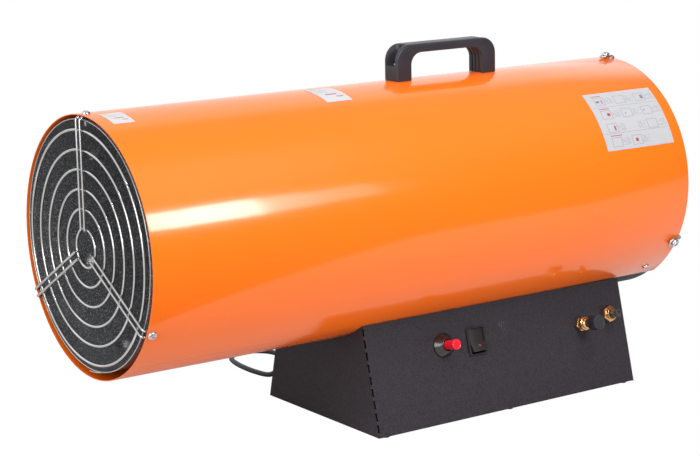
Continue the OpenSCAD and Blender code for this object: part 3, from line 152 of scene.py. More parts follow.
class Shader:
    """A material's node tree, with short calls for the nodes that the finishes use."""

    def __init__(self, name: str) -> None:
        """Starts a material with a bare Principled shader.

        Args:
            name: The material's name.
        """
        self.material = bpy.data.materials.new(name)
        self.material.use_nodes = True
        self.nodes = self.material.node_tree.nodes
        self.links = self.material.node_tree.links
        self.surface = self.nodes["Principled BSDF"]

    def set(self, **values: float | Colour) -> None:
        """Sets plain values on the shader, named with underscores for spaces.

        Args:
            values: A number or a colour for each input.
        """
        for name, value in values.items():
            socket = self.surface.inputs[name.replace("_", " ")]
            socket.default_value = (*value, 1) if isinstance(value, tuple) else value

    def feed(self, name: str, source: Socket) -> None:
        """Links a socket into one of the shader's inputs."""
        self.links.new(source, self.surface.inputs[name])

    def node(self, kind: str, inputs: dict[str | int, object], **settings: object) -> bpy.types.Node:
        """Adds a node.

        Args:
            kind: The node's type name.
            inputs: Values or sockets, by input name or number.
            settings: Attributes of the node.

        Returns:
            The new node.
        """
        node = self.nodes.new(kind)
        for name, value in settings.items():
            setattr(node, name, value)
        for name, value in inputs.items():
            if isinstance(value, Socket):
                self.links.new(value, node.inputs[name])
            else:
                node.inputs[name].default_value = value
        return node

    def place(self, stretch: Point3 = (1, 1, 1)) -> Socket:
        """Returns Object coordinates, stretched by three factors.

        Args:
            stretch: How much closer the pattern runs along each axis.

        Returns:
            The coordinates.
        """
        coords = self.node("ShaderNodeTexCoord", {})
        mapping = self.node("ShaderNodeMapping", {"Vector": coords.outputs["Object"], "Scale": stretch})
        return mapping.outputs["Vector"]

    def noise(self, scale: float, detail: float = 2, stretch: Point3 = (1, 1, 1)) -> Socket:
        """Returns a noise of about `scale` grains to the metre, from 0 to 1.

        Args:
            scale: Grains to the metre.
            detail: How many finer layers it has.
            stretch: How much closer it runs along each axis.

        Returns:
            The noise.
        """
        node = self.node("ShaderNodeTexNoise",
                         {"Vector": self.place(stretch), "Scale": scale, "Detail": detail})
        return node.outputs["Fac"]

    def specks(self, scale: float, size: float) -> Socket:
        """Returns 1 inside round specks and 0 between them.

        Args:
            scale: Specks to the metre.
            size: A speck's radius as a share of the distance between specks.

        Returns:
            The specks.
        """
        cells = self.node("ShaderNodeTexVoronoi", {"Vector": self.place(), "Scale": scale})
        return self.step(cells.outputs["Distance"], size, size * 0.7)

    def step(self, value: Socket, zero: float, one: float) -> Socket:
        """Returns a value rescaled so that it is 0 at `zero` and 1 at `one`, clamped.

        Args:
            value: The value.
            zero: Where the result is 0.
            one: Where it is 1.

        Returns:
            The result.
        """
        node = self.node("ShaderNodeMapRange",
                         {"Value": value, "From Min": zero, "From Max": one, "To Min": 0.0, "To Max": 1.0})
        return node.outputs["Result"]

    def scaled(self, value: Socket, low: float, high: float) -> Socket:
        """Returns a 0 to 1 value carried to a range."""
        node = self.node("ShaderNodeMapRange", {"Value": value, "To Min": low, "To Max": high})
        return node.outputs["Result"]

    def math(self, operation: str, first: object, second: object) -> Socket:
        """Returns the result of one sum."""
        return self.node("ShaderNodeMath", {0: first, 1: second}, operation=operation).outputs["Value"]

    def times(self, first: object, second: object) -> Socket:
        """Returns a product."""
        return self.math("MULTIPLY", first, second)

    def mix(self, share: object, first: object, second: object) -> Socket:
        """Returns a blend of two colours, or of colour sockets.

        Args:
            share: How much of the second colour there is.
            first: A colour or its socket.
            second: Another one.

        Returns:
            The blend.
        """
        first = (*first, 1) if isinstance(first, tuple) else first
        second = (*second, 1) if isinstance(second, tuple) else second
        node = self.node("ShaderNodeMix", {0: share, 6: first, 7: second}, data_type="RGBA")
        return node.outputs[2]

    def relief(self, height: Socket, depth: float, below: object = None) -> Socket:
        """Returns a normal bumped by a height of 0 to 1, `depth` metres deep, over another normal.

        Args:
            height: The height.
            depth: How deep a height of 1 is.
            below: A normal that it lies on.

        Returns:
            The new normal.
        """
        inputs = {"Height": height, "Distance": depth, "Strength": 1.0}
        if below is not None:
            inputs["Normal"] = below
        return self.node("ShaderNodeBump", inputs).outputs["Normal"]


@dataclass(frozen=True)
class Finish:
    """A surface's finish: its name is also the record's material slot, unless `slot` says otherwise."""

    name: str
    colour: Colour
    roughness: float = 0.5
    slot: str = ""

    def dress(self, shader: Shader) -> None:
        """Adds the finish's own nodes; each kind of finish has its own."""
        raise NotImplementedError

    def material(self) -> bpy.types.Material:
        """Returns the finish's material, made once."""
        return made_material(self)


@lru_cache(maxsize=None)
def made_material(finish: Finish) -> bpy.types.Material:
    """Builds a finish's material.

    Args:
        finish: The finish to build.

    Returns:
        The material, the same one for the same finish.
    """
    shader = Shader(finish.name)
    shader.set(Base_Color=finish.colour, Roughness=finish.roughness)
    finish.dress(shader)
    return shader.material


@dataclass(frozen=True)
class GlossPaint(Finish):
    """Smooth stove paint on sheet metal: a faint orange peel, soft waves and specks of dust."""

    peel: float = 420

    def dress(self, shader: Shader) -> None:
        """Adds the colour's drift, the dust and the skin's relief.

        Args:
            shader: The material's node tree.
        """
        shader.set(Coat_Weight=0.5, Coat_Roughness=0.09, Specular_IOR_Level=0.3)
        drift = shader.noise(9, 3)
        darker = tuple(0.9 * c for c in self.colour)
        colour = shader.mix(shader.scaled(drift, 0, 0.5), self.colour, darker)
        dust = shader.times(shader.specks(260, 0.075), shader.step(shader.noise(24), 0.55, 0.7))
        colour = shader.mix(shader.times(dust, 0.45), colour, (0.9, 0.8, 0.7))
        shader.feed("Base Color", colour)
        worn = shader.scaled(shader.noise(70, 4), self.roughness * 0.8, self.roughness * 1.3)
        shader.feed("Roughness", worn)
        waves = shader.relief(shader.noise(14, 1), 0.00012)
        shader.feed("Normal", shader.relief(shader.noise(self.peel, 2), 0.000004, waves))


@dataclass(frozen=True)
class PowderCoat(Finish):
    """Fine-textured powder coat: close grain, painted sparkle highlights on the grain's tips, pale rubbed
    marks.
    """

    grain: float = 1500

    def dress(self, shader: Shader) -> None:
        """Adds the grain, the painted sparkle highlights on its tips and the rubbed marks.

        Args:
            shader: The material's node tree.
        """
        shader.set(Specular_IOR_Level=0.3)
        grain = shader.noise(self.grain, 3)
        # Painted highlight: the grain's high points are painted paler to stand for the sparkle that light
        # gives them.
        painted_sparkle = shader.step(grain, 0.56, 0.72)
        pale = tuple(min(1, 2.6 * c + 0.02) for c in self.colour)
        dull, bright = (tuple(share * c for c in self.colour) for share in (0.72, 1.3))
        ground = shader.mix(shader.step(shader.noise(520, 2), 0.36, 0.64), dull, bright)
        colour = shader.mix(shader.times(painted_sparkle, 0.5), ground, pale)
        rub = shader.step(shader.noise(30, 6), 0.7, 0.78)
        scuffs = shader.times(rub, shader.step(shader.noise(700, 2, (1, 1, 0.2)), 0.5, 0.62))
        shader.feed("Base Color", shader.mix(shader.times(scuffs, 0.22), colour, (0.3, 0.28, 0.28)))
        shader.feed("Roughness", shader.scaled(grain, self.roughness - 0.1, self.roughness + 0.15))
        shader.feed("Normal", shader.relief(grain, 0.00018))


@dataclass(frozen=True)
class SpeckledSteel(Finish):
    """Dark heat-proof sheet with pale mineral specks, greyer where it has been hot."""

    def dress(self, shader: Shader) -> None:
        """Adds two sizes of specks over a mottled ground.

        Args:
            shader: The material's node tree.
        """
        shader.set(Metallic=0.25, Coat_Weight=0.9, Coat_Roughness=0.06)
        ground = shader.mix(shader.noise(45, 5), self.colour, tuple(2.2 * c for c in self.colour))
        fine = shader.times(shader.specks(760, 0.38), shader.step(shader.noise(500, 1), 0.36, 0.5))
        coarse = shader.times(shader.specks(300, 0.24), shader.step(shader.noise(160, 1), 0.42, 0.52))
        both = shader.math("MAXIMUM", fine, coarse)
        shader.feed("Base Color", shader.mix(shader.times(both, 0.85), ground, (0.75, 0.75, 0.74)))
        worn = shader.scaled(shader.noise(60, 4), self.roughness - 0.12, self.roughness + 0.2)
        shader.feed("Roughness", worn)
        shader.feed("Normal", shader.relief(shader.noise(700, 3), 0.00008))


@dataclass(frozen=True)
class BareMetal(Finish):
    """Plain metal: drawn or brushed streaks, a soft mottle and a little tarnish.

    Attributes:
        streaks: How much finer the grain is across each axis than along it.
        tarnish: The colour that the metal dulls to.
        dulling: How far it has dulled, from 0 to 1.
    """

    streaks: Point3 = (1, 1, 1)
    tarnish: Colour = (0.3, 0.3, 0.3)
    dulling: float = 0.3
    grain: float = 300

    def dress(self, shader: Shader) -> None:
        """Adds the streaks, the tarnish and the fine relief.

        Args:
            shader: The material's node tree.
        """
        shader.set(Metallic=1.0)
        streak = shader.noise(self.grain, 4, self.streaks)
        stain = shader.step(shader.noise(55, 5), 0.42, 0.72)
        shader.feed("Base Color", shader.mix(shader.times(stain, self.dulling), self.colour, self.tarnish))
        shader.feed("Roughness", shader.scaled(streak, self.roughness * 0.6, self.roughness * 1.5))
        shader.feed("Normal", shader.relief(streak, 0.00002))


@dataclass(frozen=True)
class Moulded(Finish):
    """Moulded plastic or rubber: spark-eroded grain, faint flow marks and handling shine."""

    grain: float = 1100
    depth: float = 0.00006
    shine: float = 0.5

    def dress(self, shader: Shader) -> None:
        """Adds the grain and the uneven shine.

        Args:
            shader: The material's node tree.
        """
        shader.set(Specular_IOR_Level=self.shine)
        grain = shader.noise(self.grain, 3)
        worn = shader.noise(38, 4)
        pale = tuple(min(1, 1.5 * c + 0.01) for c in self.colour)
        shader.feed("Base Color", shader.mix(shader.scaled(worn, 0, 0.5), self.colour, pale))
        shader.feed("Roughness", shader.scaled(worn, self.roughness - 0.08, self.roughness + 0.1))
        shader.feed("Normal", shader.relief(grain, self.depth))


@dataclass(frozen=True)
class Glazed(Finish):
    """A hard shining skin, such as polished plastic or glaze, with hairline scratches."""

    def dress(self, shader: Shader) -> None:
        """Adds hairlines to the shine and a slow drift to the colour.

        Args:
            shader: The material's node tree.
        """
        shader.set(Coat_Weight=0.5, Coat_Roughness=0.05)
        deep = tuple(0.8 * c for c in self.colour)
        shader.feed("Base Color", shader.mix(shader.noise(60, 3), self.colour, deep))
        hair = shader.step(shader.noise(900, 2, (1, 0.06, 1)), 0.6, 0.75)
        shader.feed("Roughness", shader.scaled(hair, self.roughness, self.roughness + 0.14))
        shader.feed("Normal", shader.relief(shader.noise(250, 2), 0.00001))


@dataclass(frozen=True)
class Sticker(Finish):
    """White film printed with plain rules and boxes, laid out on the piece's own UV map.

    Attributes:
        boxes: Printed frames, as left, bottom, right and top shares of the label.
        bars: Solid bars in the same form.
        marks: Small red blocks in the same form.
        lines: Bands of ruled lines, in the same form, with how many lines each has.
    """

    boxes: tuple[Box, ...] = ()
    bars: tuple[Box, ...] = ()
    marks: tuple[Box, ...] = ()
    lines: tuple[Box, ...] = ()

    def dress(self, shader: Shader) -> None:
        """Prints each group in its ink.

        Args:
            shader: The material's node tree.
        """
        split = shader.node("ShaderNodeSeparateXYZ",
                            {0: shader.node("ShaderNodeUVMap", {}, uv_map=PRINT_MAP).outputs["UV"]})
        u, v = split.outputs[0], split.outputs[1]
        paper = shader.mix(shader.noise(90, 3), self.colour, tuple(0.94 * c for c in self.colour))
        frames = self.together(shader, [self.frame(shader, u, v, b) for b in self.boxes])
        bars = self.together(shader, [self.window(shader, u, v, b) for b in self.bars])
        ruled = self.together(shader, [self.rules(shader, u, v, b) for b in self.lines])
        marks = self.together(shader, [self.window(shader, u, v, b) for b in self.marks])
        colour = paper
        for share, ink in ((frames, (0.2, 0.2, 0.22)), (bars, (0.13, 0.13, 0.15)),
                           (ruled, (0.17, 0.17, 0.19)), (marks, (0.3, 0.04, 0.045))):
            if share is not None:
                colour = shader.mix(share, colour, ink)
        shader.feed("Base Color", colour)
        shader.feed("Normal", shader.relief(shader.noise(160, 2), 0.00002))

    @staticmethod
    def together(shader: Shader, masks: list[Socket]) -> Socket | None:
        """Returns the union of some masks, or None where there are none.

        Args:
            shader: The material's node tree.
            masks: The masks.

        Returns:
            Their union.
        """
        whole = None
        for mask in masks:
            whole = mask if whole is None else shader.math("MAXIMUM", whole, mask)
        return whole

    @staticmethod
    def window(shader: Shader, u: object, v: object, box: Box) -> Socket:
        """Returns 1 inside a box of the label and 0 outside it.

        Args:
            shader: The material's node tree.
            u: How far across the label a point lies.
            v: How far up it lies.
            box: The box's left, bottom, right and top.

        Returns:
            The mask.
        """
        across = shader.math("COMPARE", u, (box[0] + box[2]) / 2)
        across.node.inputs[2].default_value = (box[2] - box[0]) / 2
        up = shader.math("COMPARE", v, (box[1] + box[3]) / 2)
        up.node.inputs[2].default_value = (box[3] - box[1]) / 2
        return shader.times(across, up)

    def frame(self, shader: Shader, u: object, v: object, box: Box) -> Socket:
        """Returns the thin outline of a box of the label.

        Args:
            shader: The material's node tree.
            u: How far across the label a point lies.
            v: How far up it lies.
            box: The box's left, bottom, right and top.

        Returns:
            The mask.
        """
        pen = 0.007
        inner = (box[0] + pen, box[1] + pen, box[2] - pen, box[3] - pen)
        return shader.math("SUBTRACT", self.window(shader, u, v, box), self.window(shader, u, v, inner))

    def rules(self, shader: Shader, u: object, v: object, band: Box) -> Socket:
        """Returns lines ruled across a box, broken here and there as words would be.

        Args:
            shader: The material's node tree.
            u: How far across the label a point lies.
            v: How far up it lies.
            band: The box's left, bottom, right and top, and how many lines it has.

        Returns:
            The mask.
        """
        count = band[4]
        run = shader.times(shader.math("SUBTRACT", v, band[1]), count / (band[3] - band[1]))
        line = shader.math("LESS_THAN", shader.math("FRACT", run, 0.0), 0.36)
        row = shader.times(shader.math("FLOOR", run, 0.0), 3.7)
        spot = shader.node("ShaderNodeCombineXYZ", {0: shader.times(u, 26.0), 1: row})
        breaks = shader.node("ShaderNodeTexNoise", {"Vector": spot.outputs[0], "Scale": 1.0, "Detail": 0.0})
        words = shader.math("GREATER_THAN", breaks.outputs["Fac"], 0.44)
        mask = shader.times(shader.times(line, words), self.window(shader, u, v, band))
        return shader.times(mask, 0.7)


def arc(centre: Point2, radius: float, start: float, end: float, steps: int = 8) -> list[Point2]:
    """Returns points along a circle's arc.

    Args:
        centre: The circle's centre.
        radius: Its radius.
        start: The first point's angle in degrees, anticlockwise from +x.
        end: The last point's angle.
        steps: How many pieces the arc is cut into.

    Returns:
        The points.
    """
    angles = [math.radians(start + (end - start) * i / steps) for i in range(steps + 1)]
    return [(centre[0] + radius * math.cos(a), centre[1] + radius * math.sin(a)) for a in angles]


def softened(points: Sequence[Point2], radius: float, steps: int = 4, loop: bool = True) -> list[Point2]:
    """Rounds an outline's corners with curves that touch both sides.

    Args:
        points: The outline's corners, in order.
        radius: How far from each corner its curve starts, limited by half a side.
        steps: Pieces to a curve.
        loop: Whether the last point joins the first; otherwise both ends stay.

    Returns:
        The rounded outline.
    """
    smooth: list[Point2] = []
    count = len(points)
    for i, corner in enumerate(points):
        if not loop and i in (0, count - 1):
            smooth.append(tuple(corner))
            continue
        here = Vector(corner)
        back = Vector(points[i - 1]) - here
        ahead = Vector(points[(i + 1) % count]) - here
        reach = min(radius, back.length * 0.49, ahead.length * 0.49)
        start, end = here + back.normalized() * reach, here + ahead.normalized() * reach
        for k in range(steps + 1):
            t = k / steps
            spot = start * (1 - t) ** 2 + here * 2 * t * (1 - t) + end * t ** 2
            smooth.append((spot.x, spot.y))
    return smooth


def oblong(width: float, height: float, radius: float, steps: int = 5) -> list[Point2]:
    """Returns a rectangle about the origin with round corners, given by width, height and radius.

    Args:
        width: Its size in x.
        height: Its size in y.
        radius: Its corners' radius.
        steps: Pieces to a corner.

    Returns:
        Its points, anticlockwise.
    """
    w, h = width / 2 - radius, height / 2 - radius
    corners = (((w, -h), -90), ((w, h), 0), ((-w, h), 90), ((-w, -h), 180))
    return [p for centre, a in corners for p in arc(centre, radius, a, a + 90, steps)]


def tidied(part: Mesh) -> Mesh:
    """Merges a mesh's doubles and turns its faces outwards, and returns it.

    Args:
        part: The mesh; it is changed.

    Returns:
        The same mesh.
    """
    bmesh.ops.remove_doubles(part, verts=part.verts, dist=1e-6)
    bmesh.ops.recalc_face_normals(part, faces=part.faces)
    return part


def lathe(profile: Sequence[Point2], steps: int = 64, closed: bool = False,
          sweep: float = 360) -> Mesh:
    """Turns a profile round +Z.

    Args:
        profile: (radius, height) points.
        steps: Segments round the turn.
        closed: Whether the profile is a ring of its own, as a wire's section is.
        sweep: How far it turns, in degrees.

    Returns:
        The new mesh.
    """
    part = bmesh.new()
    verts = [part.verts.new((r, 0, z)) for r, z in profile]
    pairs = list(zip(verts, verts[1:])) + ([(verts[-1], verts[0])] if closed else [])
    edges = [part.edges.new(pair) for pair in pairs]
    bmesh.ops.spin(part, geom=verts + edges, cent=(0, 0, 0), axis=(0, 0, 1), dvec=(0, 0, 0),
                   angle=math.radians(sweep), steps=steps, use_merge=sweep == 360)
    return tidied(part)


def slab(outline: Sequence[Point2], depth: float, edge: float = 0, segments: int = 2) -> Mesh:
    """Draws a flat outline up from z = 0.

    Args:
        outline: The outline's points in x and y.
        depth: The height that it is drawn to.
        edge: How far its edges are rounded.
        segments: Pieces to a rounded edge.

    Returns:
        The new solid.
    """
    part = bmesh.new()
    face = part.faces.new([part.verts.new((x, y, 0)) for x, y in outline])
    drawn = bmesh.ops.extrude_face_region(part, geom=[face])["geom"]
    raised = [v for v in drawn if isinstance(v, bmesh.types.BMVert)]
    bmesh.ops.translate(part, vec=(0, 0, depth), verts=raised)
    bmesh.ops.recalc_face_normals(part, faces=part.faces)
    return rounded(part, edge, segments) if edge else part


def rounded(part: Mesh, radius: float, segments: int = 2, above: float = 30) -> Mesh:
    """Rounds the edges of a mesh that are sharper than an angle.

    Args:
        part: The mesh.
        radius: The width of the rounding.
        segments: Pieces to a rounding.
        above: The least angle between faces, in degrees.

    Returns:
        The same mesh.
    """
    sharp = [e for e in part.edges if len(e.link_faces) == 2
             and e.calc_face_angle(0) > math.radians(above)]
    bmesh.ops.bevel(part, geom=sharp, offset=radius, offset_type="OFFSET", affect="EDGES",
                    segments=segments, profile=0.5, material=-1, clamp_overlap=True)
    return part


def ball(radius: float, stretch: Point3 = (1, 1, 1), detail: int = 2) -> Mesh:
    """Returns a faceted ball, stretched by three factors, for small beads and tool tips.

    Args:
        radius: Its radius.
        stretch: The three factors.
        detail: How often its faces are split.

    Returns:
        The new mesh.
    """
    part = bmesh.new()
    bmesh.ops.create_icosphere(part, subdivisions=detail, radius=radius)
    bmesh.ops.scale(part, vec=stretch, verts=part.verts)
    return part


def hexagon(across: float, height: float, chamfer: float) -> Mesh:
    """Returns a hexagon bar with turned-down corners at both ends.

    Args:
        across: Its width across the flats.
        height: Its height, from z = 0.
        chamfer: How far its corners are turned down.

    Returns:
        The new solid.
    """
    corner = across / math.sqrt(3)
    bar = slab([(corner * math.cos(math.radians(a)), corner * math.sin(math.radians(a)))
                for a in range(0, 360, 60)], height)
    drop = chamfer * 0.6
    cap = lathe([(0, 0), (corner - chamfer, 0), (corner + drop, chamfer + drop),
                 (corner + drop, height - chamfer - drop), (corner - chamfer, height), (0, height)], 72)
    return rounded(carved(bar, cap, "INTERSECT"), 0.00015, 1)


def wire(points: Sequence[Point3], radius: float, bend: float = 0, sides: int = 12,
         loop: bool = False) -> Mesh:
    """Bends a round wire along points.

    Args:
        points: The wire's centreline, with its corners.
        radius: The wire's radius.
        bend: The radius of its bends, where the points are corners.
        sides: Sides round the wire, a multiple of four.
        loop: Whether the wire closes on itself.

    Returns:
        The wire's mesh.
    """
    path = [Vector(p) for p in points]
    if bend:
        path = bent(path, bend)
    curve = bpy.data.curves.new("wire", "CURVE")
    curve.dimensions = "3D"
    curve.bevel_depth = radius
    curve.bevel_resolution = sides // 4 - 1
    curve.use_fill_caps = not loop
    spline = curve.splines.new("POLY")
    spline.points.add(len(path) - 1)
    spline.use_cyclic_u = loop
    for point, spot in zip(spline.points, path):
        point.co = (*spot, 1)
    holder = bpy.data.objects.new("wire", curve)
    part = bmesh.new()
    part.from_mesh(bpy.data.meshes.new_from_object(holder))
    bpy.data.objects.remove(holder)
    return tidied(part)


def bent(corners: Sequence[Vector], radius: float, steps: int = 7) -> list[Vector]:
    """Replaces a path's corners by bends.

    Args:
        corners: The path's points.
        radius: The bends' radius.
        steps: Pieces to a bend.

    Returns:
        The path with its bends.
    """
    path = [corners[0]]
    for before, corner, after in zip(corners, corners[1:], corners[2:]):
        inward, outward = (corner - before).normalized(), (after - corner).normalized()
        angle = inward.angle(outward)
        reach = radius * math.tan(angle / 2)
        side = (outward - inward * inward.dot(outward)).normalized()
        for i in range(steps + 1):
            a = angle * i / steps
            path.append(corner - inward * reach + inward * radius * math.sin(a)
                        + side * radius * (1 - math.cos(a)))
    return path + [corners[-1]]


def moved_mesh(part: Mesh, *steps: Matrix) -> Mesh:
    """Moves a mesh by one matrix after the other, and returns it.

    Args:
        part: The mesh; it is changed.
        steps: The matrices, in order.

    Returns:
        The same mesh.
    """
    for step in steps:
        bmesh.ops.transform(part, matrix=step, verts=part.verts)
    return part


def carved(part: Mesh, tool: Mesh, operation: str = "DIFFERENCE") -> Mesh:
    """Cuts one mesh with another.

    Args:
        part: The mesh that is cut; it is used up.
        tool: The mesh that cuts it; it is used up.
        operation: DIFFERENCE, INTERSECT or UNION.

    Returns:
        The result.
    """
    holders = []
    for shape in (part, tool):
        mesh = bpy.data.meshes.new("carving")
        shape.to_mesh(mesh)
        shape.free()
        holders.append(bpy.data.objects.new("carving", mesh))
        bpy.context.scene.collection.objects.link(holders[-1])
    cutter = holders[0].modifiers.new("cut", "BOOLEAN")
    cutter.object, cutter.operation, cutter.solver = holders[1], operation, "EXACT"
    bpy.context.view_layer.update()
    result = bmesh.new()
    result.from_mesh(bpy.data.meshes.new_from_object(
        holders[0].evaluated_get(bpy.context.evaluated_depsgraph_get())))
    for holder in holders:
        bpy.data.objects.remove(holder)
    bmesh.ops.remove_doubles(result, verts=result.verts, dist=1e-6)
    return result


def placed(part: Mesh, *places: Matrix) -> Mesh:
    """Returns a copy of a mesh at each place, joined; the mesh itself is used up.

    Args:
        part: The mesh.
        places: Where its copies stand.

    Returns:
        All the copies.
    """
    mesh = bpy.data.meshes.new("copies")
    part.to_mesh(mesh)
    part.free()
    whole = bmesh.new()
    for place in places:
        before = len(whole.verts)
        whole.from_mesh(mesh)
        whole.verts.ensure_lookup_table()
        bmesh.ops.transform(whole, matrix=place, verts=whole.verts[before:])
    return whole


@dataclass
class Piece:
    """A piece of the heater in the making.

    Attributes:
        name: The object's name.
        finishes: Its finishes; a part added with `skin` takes that one.
        nodes: The frame's nodes that it stands for.
        body: The body that it rides on.
        smooth: Faces that meet at less than this many degrees are shaded as one.
    """

    name: str
    finishes: tuple[Finish, ...]
    nodes: tuple[str, ...] = ()
    body: str = "root"
    smooth: float = 32
    mesh: Mesh = field(default_factory=bmesh.new)

    def add(self, part: Mesh, place: Matrix = Matrix(), skin: int = 0) -> "Piece":
        """Adds a part at a place, in one of the finishes, and returns the piece.

        Args:
            part: The part; it is used up.
            place: Where it goes.
            skin: Which of the finishes it takes.

        Returns:
            The piece.
        """
        bmesh.ops.transform(part, matrix=place, verts=part.verts)
        for face in part.faces:
            face.material_index = skin
        holder = bpy.data.meshes.new(self.name)
        part.to_mesh(holder)
        part.free()
        self.mesh.from_mesh(holder)
        bpy.data.meshes.remove(holder)
        return self

    def finished(self) -> bpy.types.Object:
        """Makes the piece's object, dresses it and ties it to its body.

        Returns:
            The new object.
        """
        mesh = bpy.data.meshes.new(self.name)
        self.mesh.to_mesh(mesh)
        self.mesh.free()
        for finish in self.finishes:
            mesh.materials.append(finish.material())
        mesh.shade_smooth()
        mesh.set_sharp_from_angle(angle=math.radians(self.smooth))
        piece = bpy.data.objects.new(self.name, mesh)
        bpy.context.scene.collection.objects.link(piece)
        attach(piece, self.body)
        if self.nodes:
            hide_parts(*self.nodes)
        LOG.info("%s: %d faces", self.name, len(mesh.polygons))
        return piece


ORANGE = GlossPaint("orange_paint", (0.86, 0.145, 0.006), 0.2)
DARK = PowderCoat("dark_paint", (0.019, 0.016, 0.021), 0.62)
CHAMBER_STEEL = SpeckledSteel("chamber_steel", (0.088, 0.09, 0.098), 0.3)
CUT_STEEL = BareMetal("cut_edge", (0.66, 0.65, 0.63), 0.3, "chamber_steel")
WIRE = BareMetal("grille_wire", (0.66, 0.655, 0.65), 0.15, tarnish=(0.34, 0.33, 0.32))
ZINC = BareMetal("zinc", (0.72, 0.73, 0.76), 0.28, tarnish=(0.5, 0.5, 0.5))
BLACK = Moulded("black_plastic", (0.018, 0.0165, 0.0215), 0.42)
SWITCH_BLACK = Moulded("switch_plastic", (0.011, 0.0095, 0.011), 0.5, "black_plastic", 1600, 0.00003, 0.28)
KNOB_BLACK = Moulded("knob_plastic", (0.018, 0.018, 0.024), 0.45, "dark_metal", 1600, 0.00003)
PIN_GREY = Moulded("pin_plastic", (0.04, 0.038, 0.042), 0.34, "dark_metal", 1600, 0.00002)
RED_DOT = Glazed("switch_dot", (0.26, 0.012, 0.02), 0.4, "red_plastic")
GLOSS_BLACK = Glazed("gloss_black", (0.009, 0.009, 0.01), 0.16)
RED = Glazed("red_plastic", (0.78, 0.012, 0.03), 0.22)
BRASS = BareMetal("valve_brass", (0.8, 0.5, 0.24), 0.25, streaks=(1, 1, 6), tarnish=(0.42, 0.23, 0.1),
                  dulling=0.5)
COPPER = BareMetal("copper", (0.82, 0.42, 0.27), 0.3, tarnish=(0.4, 0.2, 0.13), dulling=0.5)
DARK_METAL = BareMetal("dark_metal", (0.1, 0.1, 0.11), 0.4, tarnish=(0.04, 0.04, 0.045), dulling=0.6)
MOTOR = PowderCoat("motor_body", (0.09, 0.09, 0.1), 0.42, grain=900)
FAN = BareMetal("fan_sheet", (0.62, 0.62, 0.64), 0.34, streaks=(1, 0.1, 1), tarnish=(0.4, 0.4, 0.41))
PLAIN_STEEL = BareMetal("plain_steel", (0.56, 0.56, 0.58), 0.36, streaks=(0.1, 1, 1), tarnish=(0.4, 0.4, 0.4))
BURNER_STEEL = BareMetal("burner_steel", (0.46, 0.42, 0.39), 0.38, tarnish=(0.24, 0.15, 0.14), dulling=0.7)
RUBBER = Moulded("black_rubber", (0.012, 0.012, 0.013), 0.5, "black_rubber", 800, 0.00004)
CERAMIC = Glazed("ceramic", (0.86, 0.84, 0.78), 0.2)
CASE_METAL = BareMetal("thermostat_case", (0.68, 0.67, 0.63), 0.32)
IVORY = Moulded("ivory_plastic", (0.72, 0.68, 0.56), 0.4)
PLAIN_LABEL = Sticker("label_film", (0.45, 0.45, 0.465), 0.4, lines=((0.12, 0.6, 0.6, 0.84, 2),),
                      bars=((0.12, 0.9, 0.4, 0.93),), marks=((0.3, 0.4, 0.74, 0.46), (0.6, 0.24, 0.86, 0.29)))
ROW_TOPS = (0.91, 0.66, 0.43, 0.2)
BOX_LEFTS = (0.1, 0.4, 0.7)
BIG_LABEL = Sticker(
    "instruction_film", (0.38, 0.38, 0.4), 0.4, "label_film",
    boxes=tuple((u, v - 0.15, u + 0.15, v) for v in ROW_TOPS for u in BOX_LEFTS
                if (u, v) not in ((BOX_LEFTS[1], ROW_TOPS[2]), (BOX_LEFTS[2], ROW_TOPS[3]))),
    bars=((0.03, 0.718, 0.97, 0.722), (0.03, 0.262, 0.97, 0.266), (0.12, 0.81, 0.17, 0.85),
          (0.79, 0.8, 0.83, 0.87)),
    marks=((0.1, 0.932, 0.24, 0.944), (0.1, 0.682, 0.25, 0.694), (0.1, 0.222, 0.27, 0.234),
           (0.2, 0.79, 0.215, 0.86), (0.18, 0.56, 0.225, 0.61), (0.445, 0.57, 0.465, 0.585),
           (0.73, 0.58, 0.75, 0.6), (0.2, 0.31, 0.22, 0.39), (0.45, 0.1, 0.49, 0.15)),
    lines=tuple((u + 0.16, v - 0.13, u + 0.27, v - 0.01, 6) for v in ROW_TOPS for u in BOX_LEFTS
                if (u, v) != (BOX_LEFTS[2], ROW_TOPS[3])),
)


def strip(radius: float, start: float, end: float, first: float, last: float,
          thickness: float) -> Mesh:
    """Curves a strip of sheet about +Z, in the frame of Body.along.

    Args:
        radius: The strip's outer radius.
        start: Where it begins along the axis.
        end: Where it ends.
        first: Its first edge's angle from the top towards -Y, in degrees.
        last: Its other edge's angle.
        thickness: The sheet's thickness, inwards.

    Returns:
        The strip as a closed solid.
    """
    part = lathe([(radius, start), (radius, end)], max(2, round((last - first) / 1.25)), sweep=last - first)
    bmesh.ops.rotate(part, verts=part.verts, matrix=Matrix.Rotation(math.radians(first - 180), 3, "Z"))
    return thickened(part, thickness)


def thickened(part: Mesh, thickness: float) -> Mesh:
    """Gives an open surface that curves round +Z a wall, inwards, or outwards where it is negative.

    Args:
        part: The surface; it is changed.
        thickness: The wall's thickness.

    Returns:
        The same mesh, now a closed solid with its faces outwards.
    """
    face = next(iter(part.faces))
    centre = face.calc_center_median()
    if face.normal.dot(Vector((centre.x, centre.y, 0))) < 0:
        bmesh.ops.reverse_faces(part, faces=part.faces)
    bmesh.ops.solidify(part, geom=part.faces[:], thickness=thickness)
    bmesh.ops.recalc_face_normals(part, faces=part.faces)
    return part


def pan_head(width: float, height: float, slots: float = 0.0013) -> Mesh:
    """Returns a domed screw head on z = 0 with a cross recess.

    Args:
        width: The head's diameter.
        height: Its height.
        slots: The width of the recess's arms.

    Returns:
        The new solid.
    """
    rim = width / 2
    dome = [(0, 0), (rim - 0.0001, 0), (rim, 0.0002), (rim, height * 0.3), (rim * 0.93, height * 0.62),
            (rim * 0.76, height * 0.84), (rim * 0.45, height * 0.97), (0, height)]
    head = lathe(dome, 36)
    for angle in (0, 90):
        arm = slab(oblong(width * 0.62, slots, slots * 0.3, 2), height)
        bmesh.ops.transform(arm, matrix=turned(angle, "Z") @ moved(z=height * 0.42), verts=arm.verts)
        head = carved(head, arm)
    return head


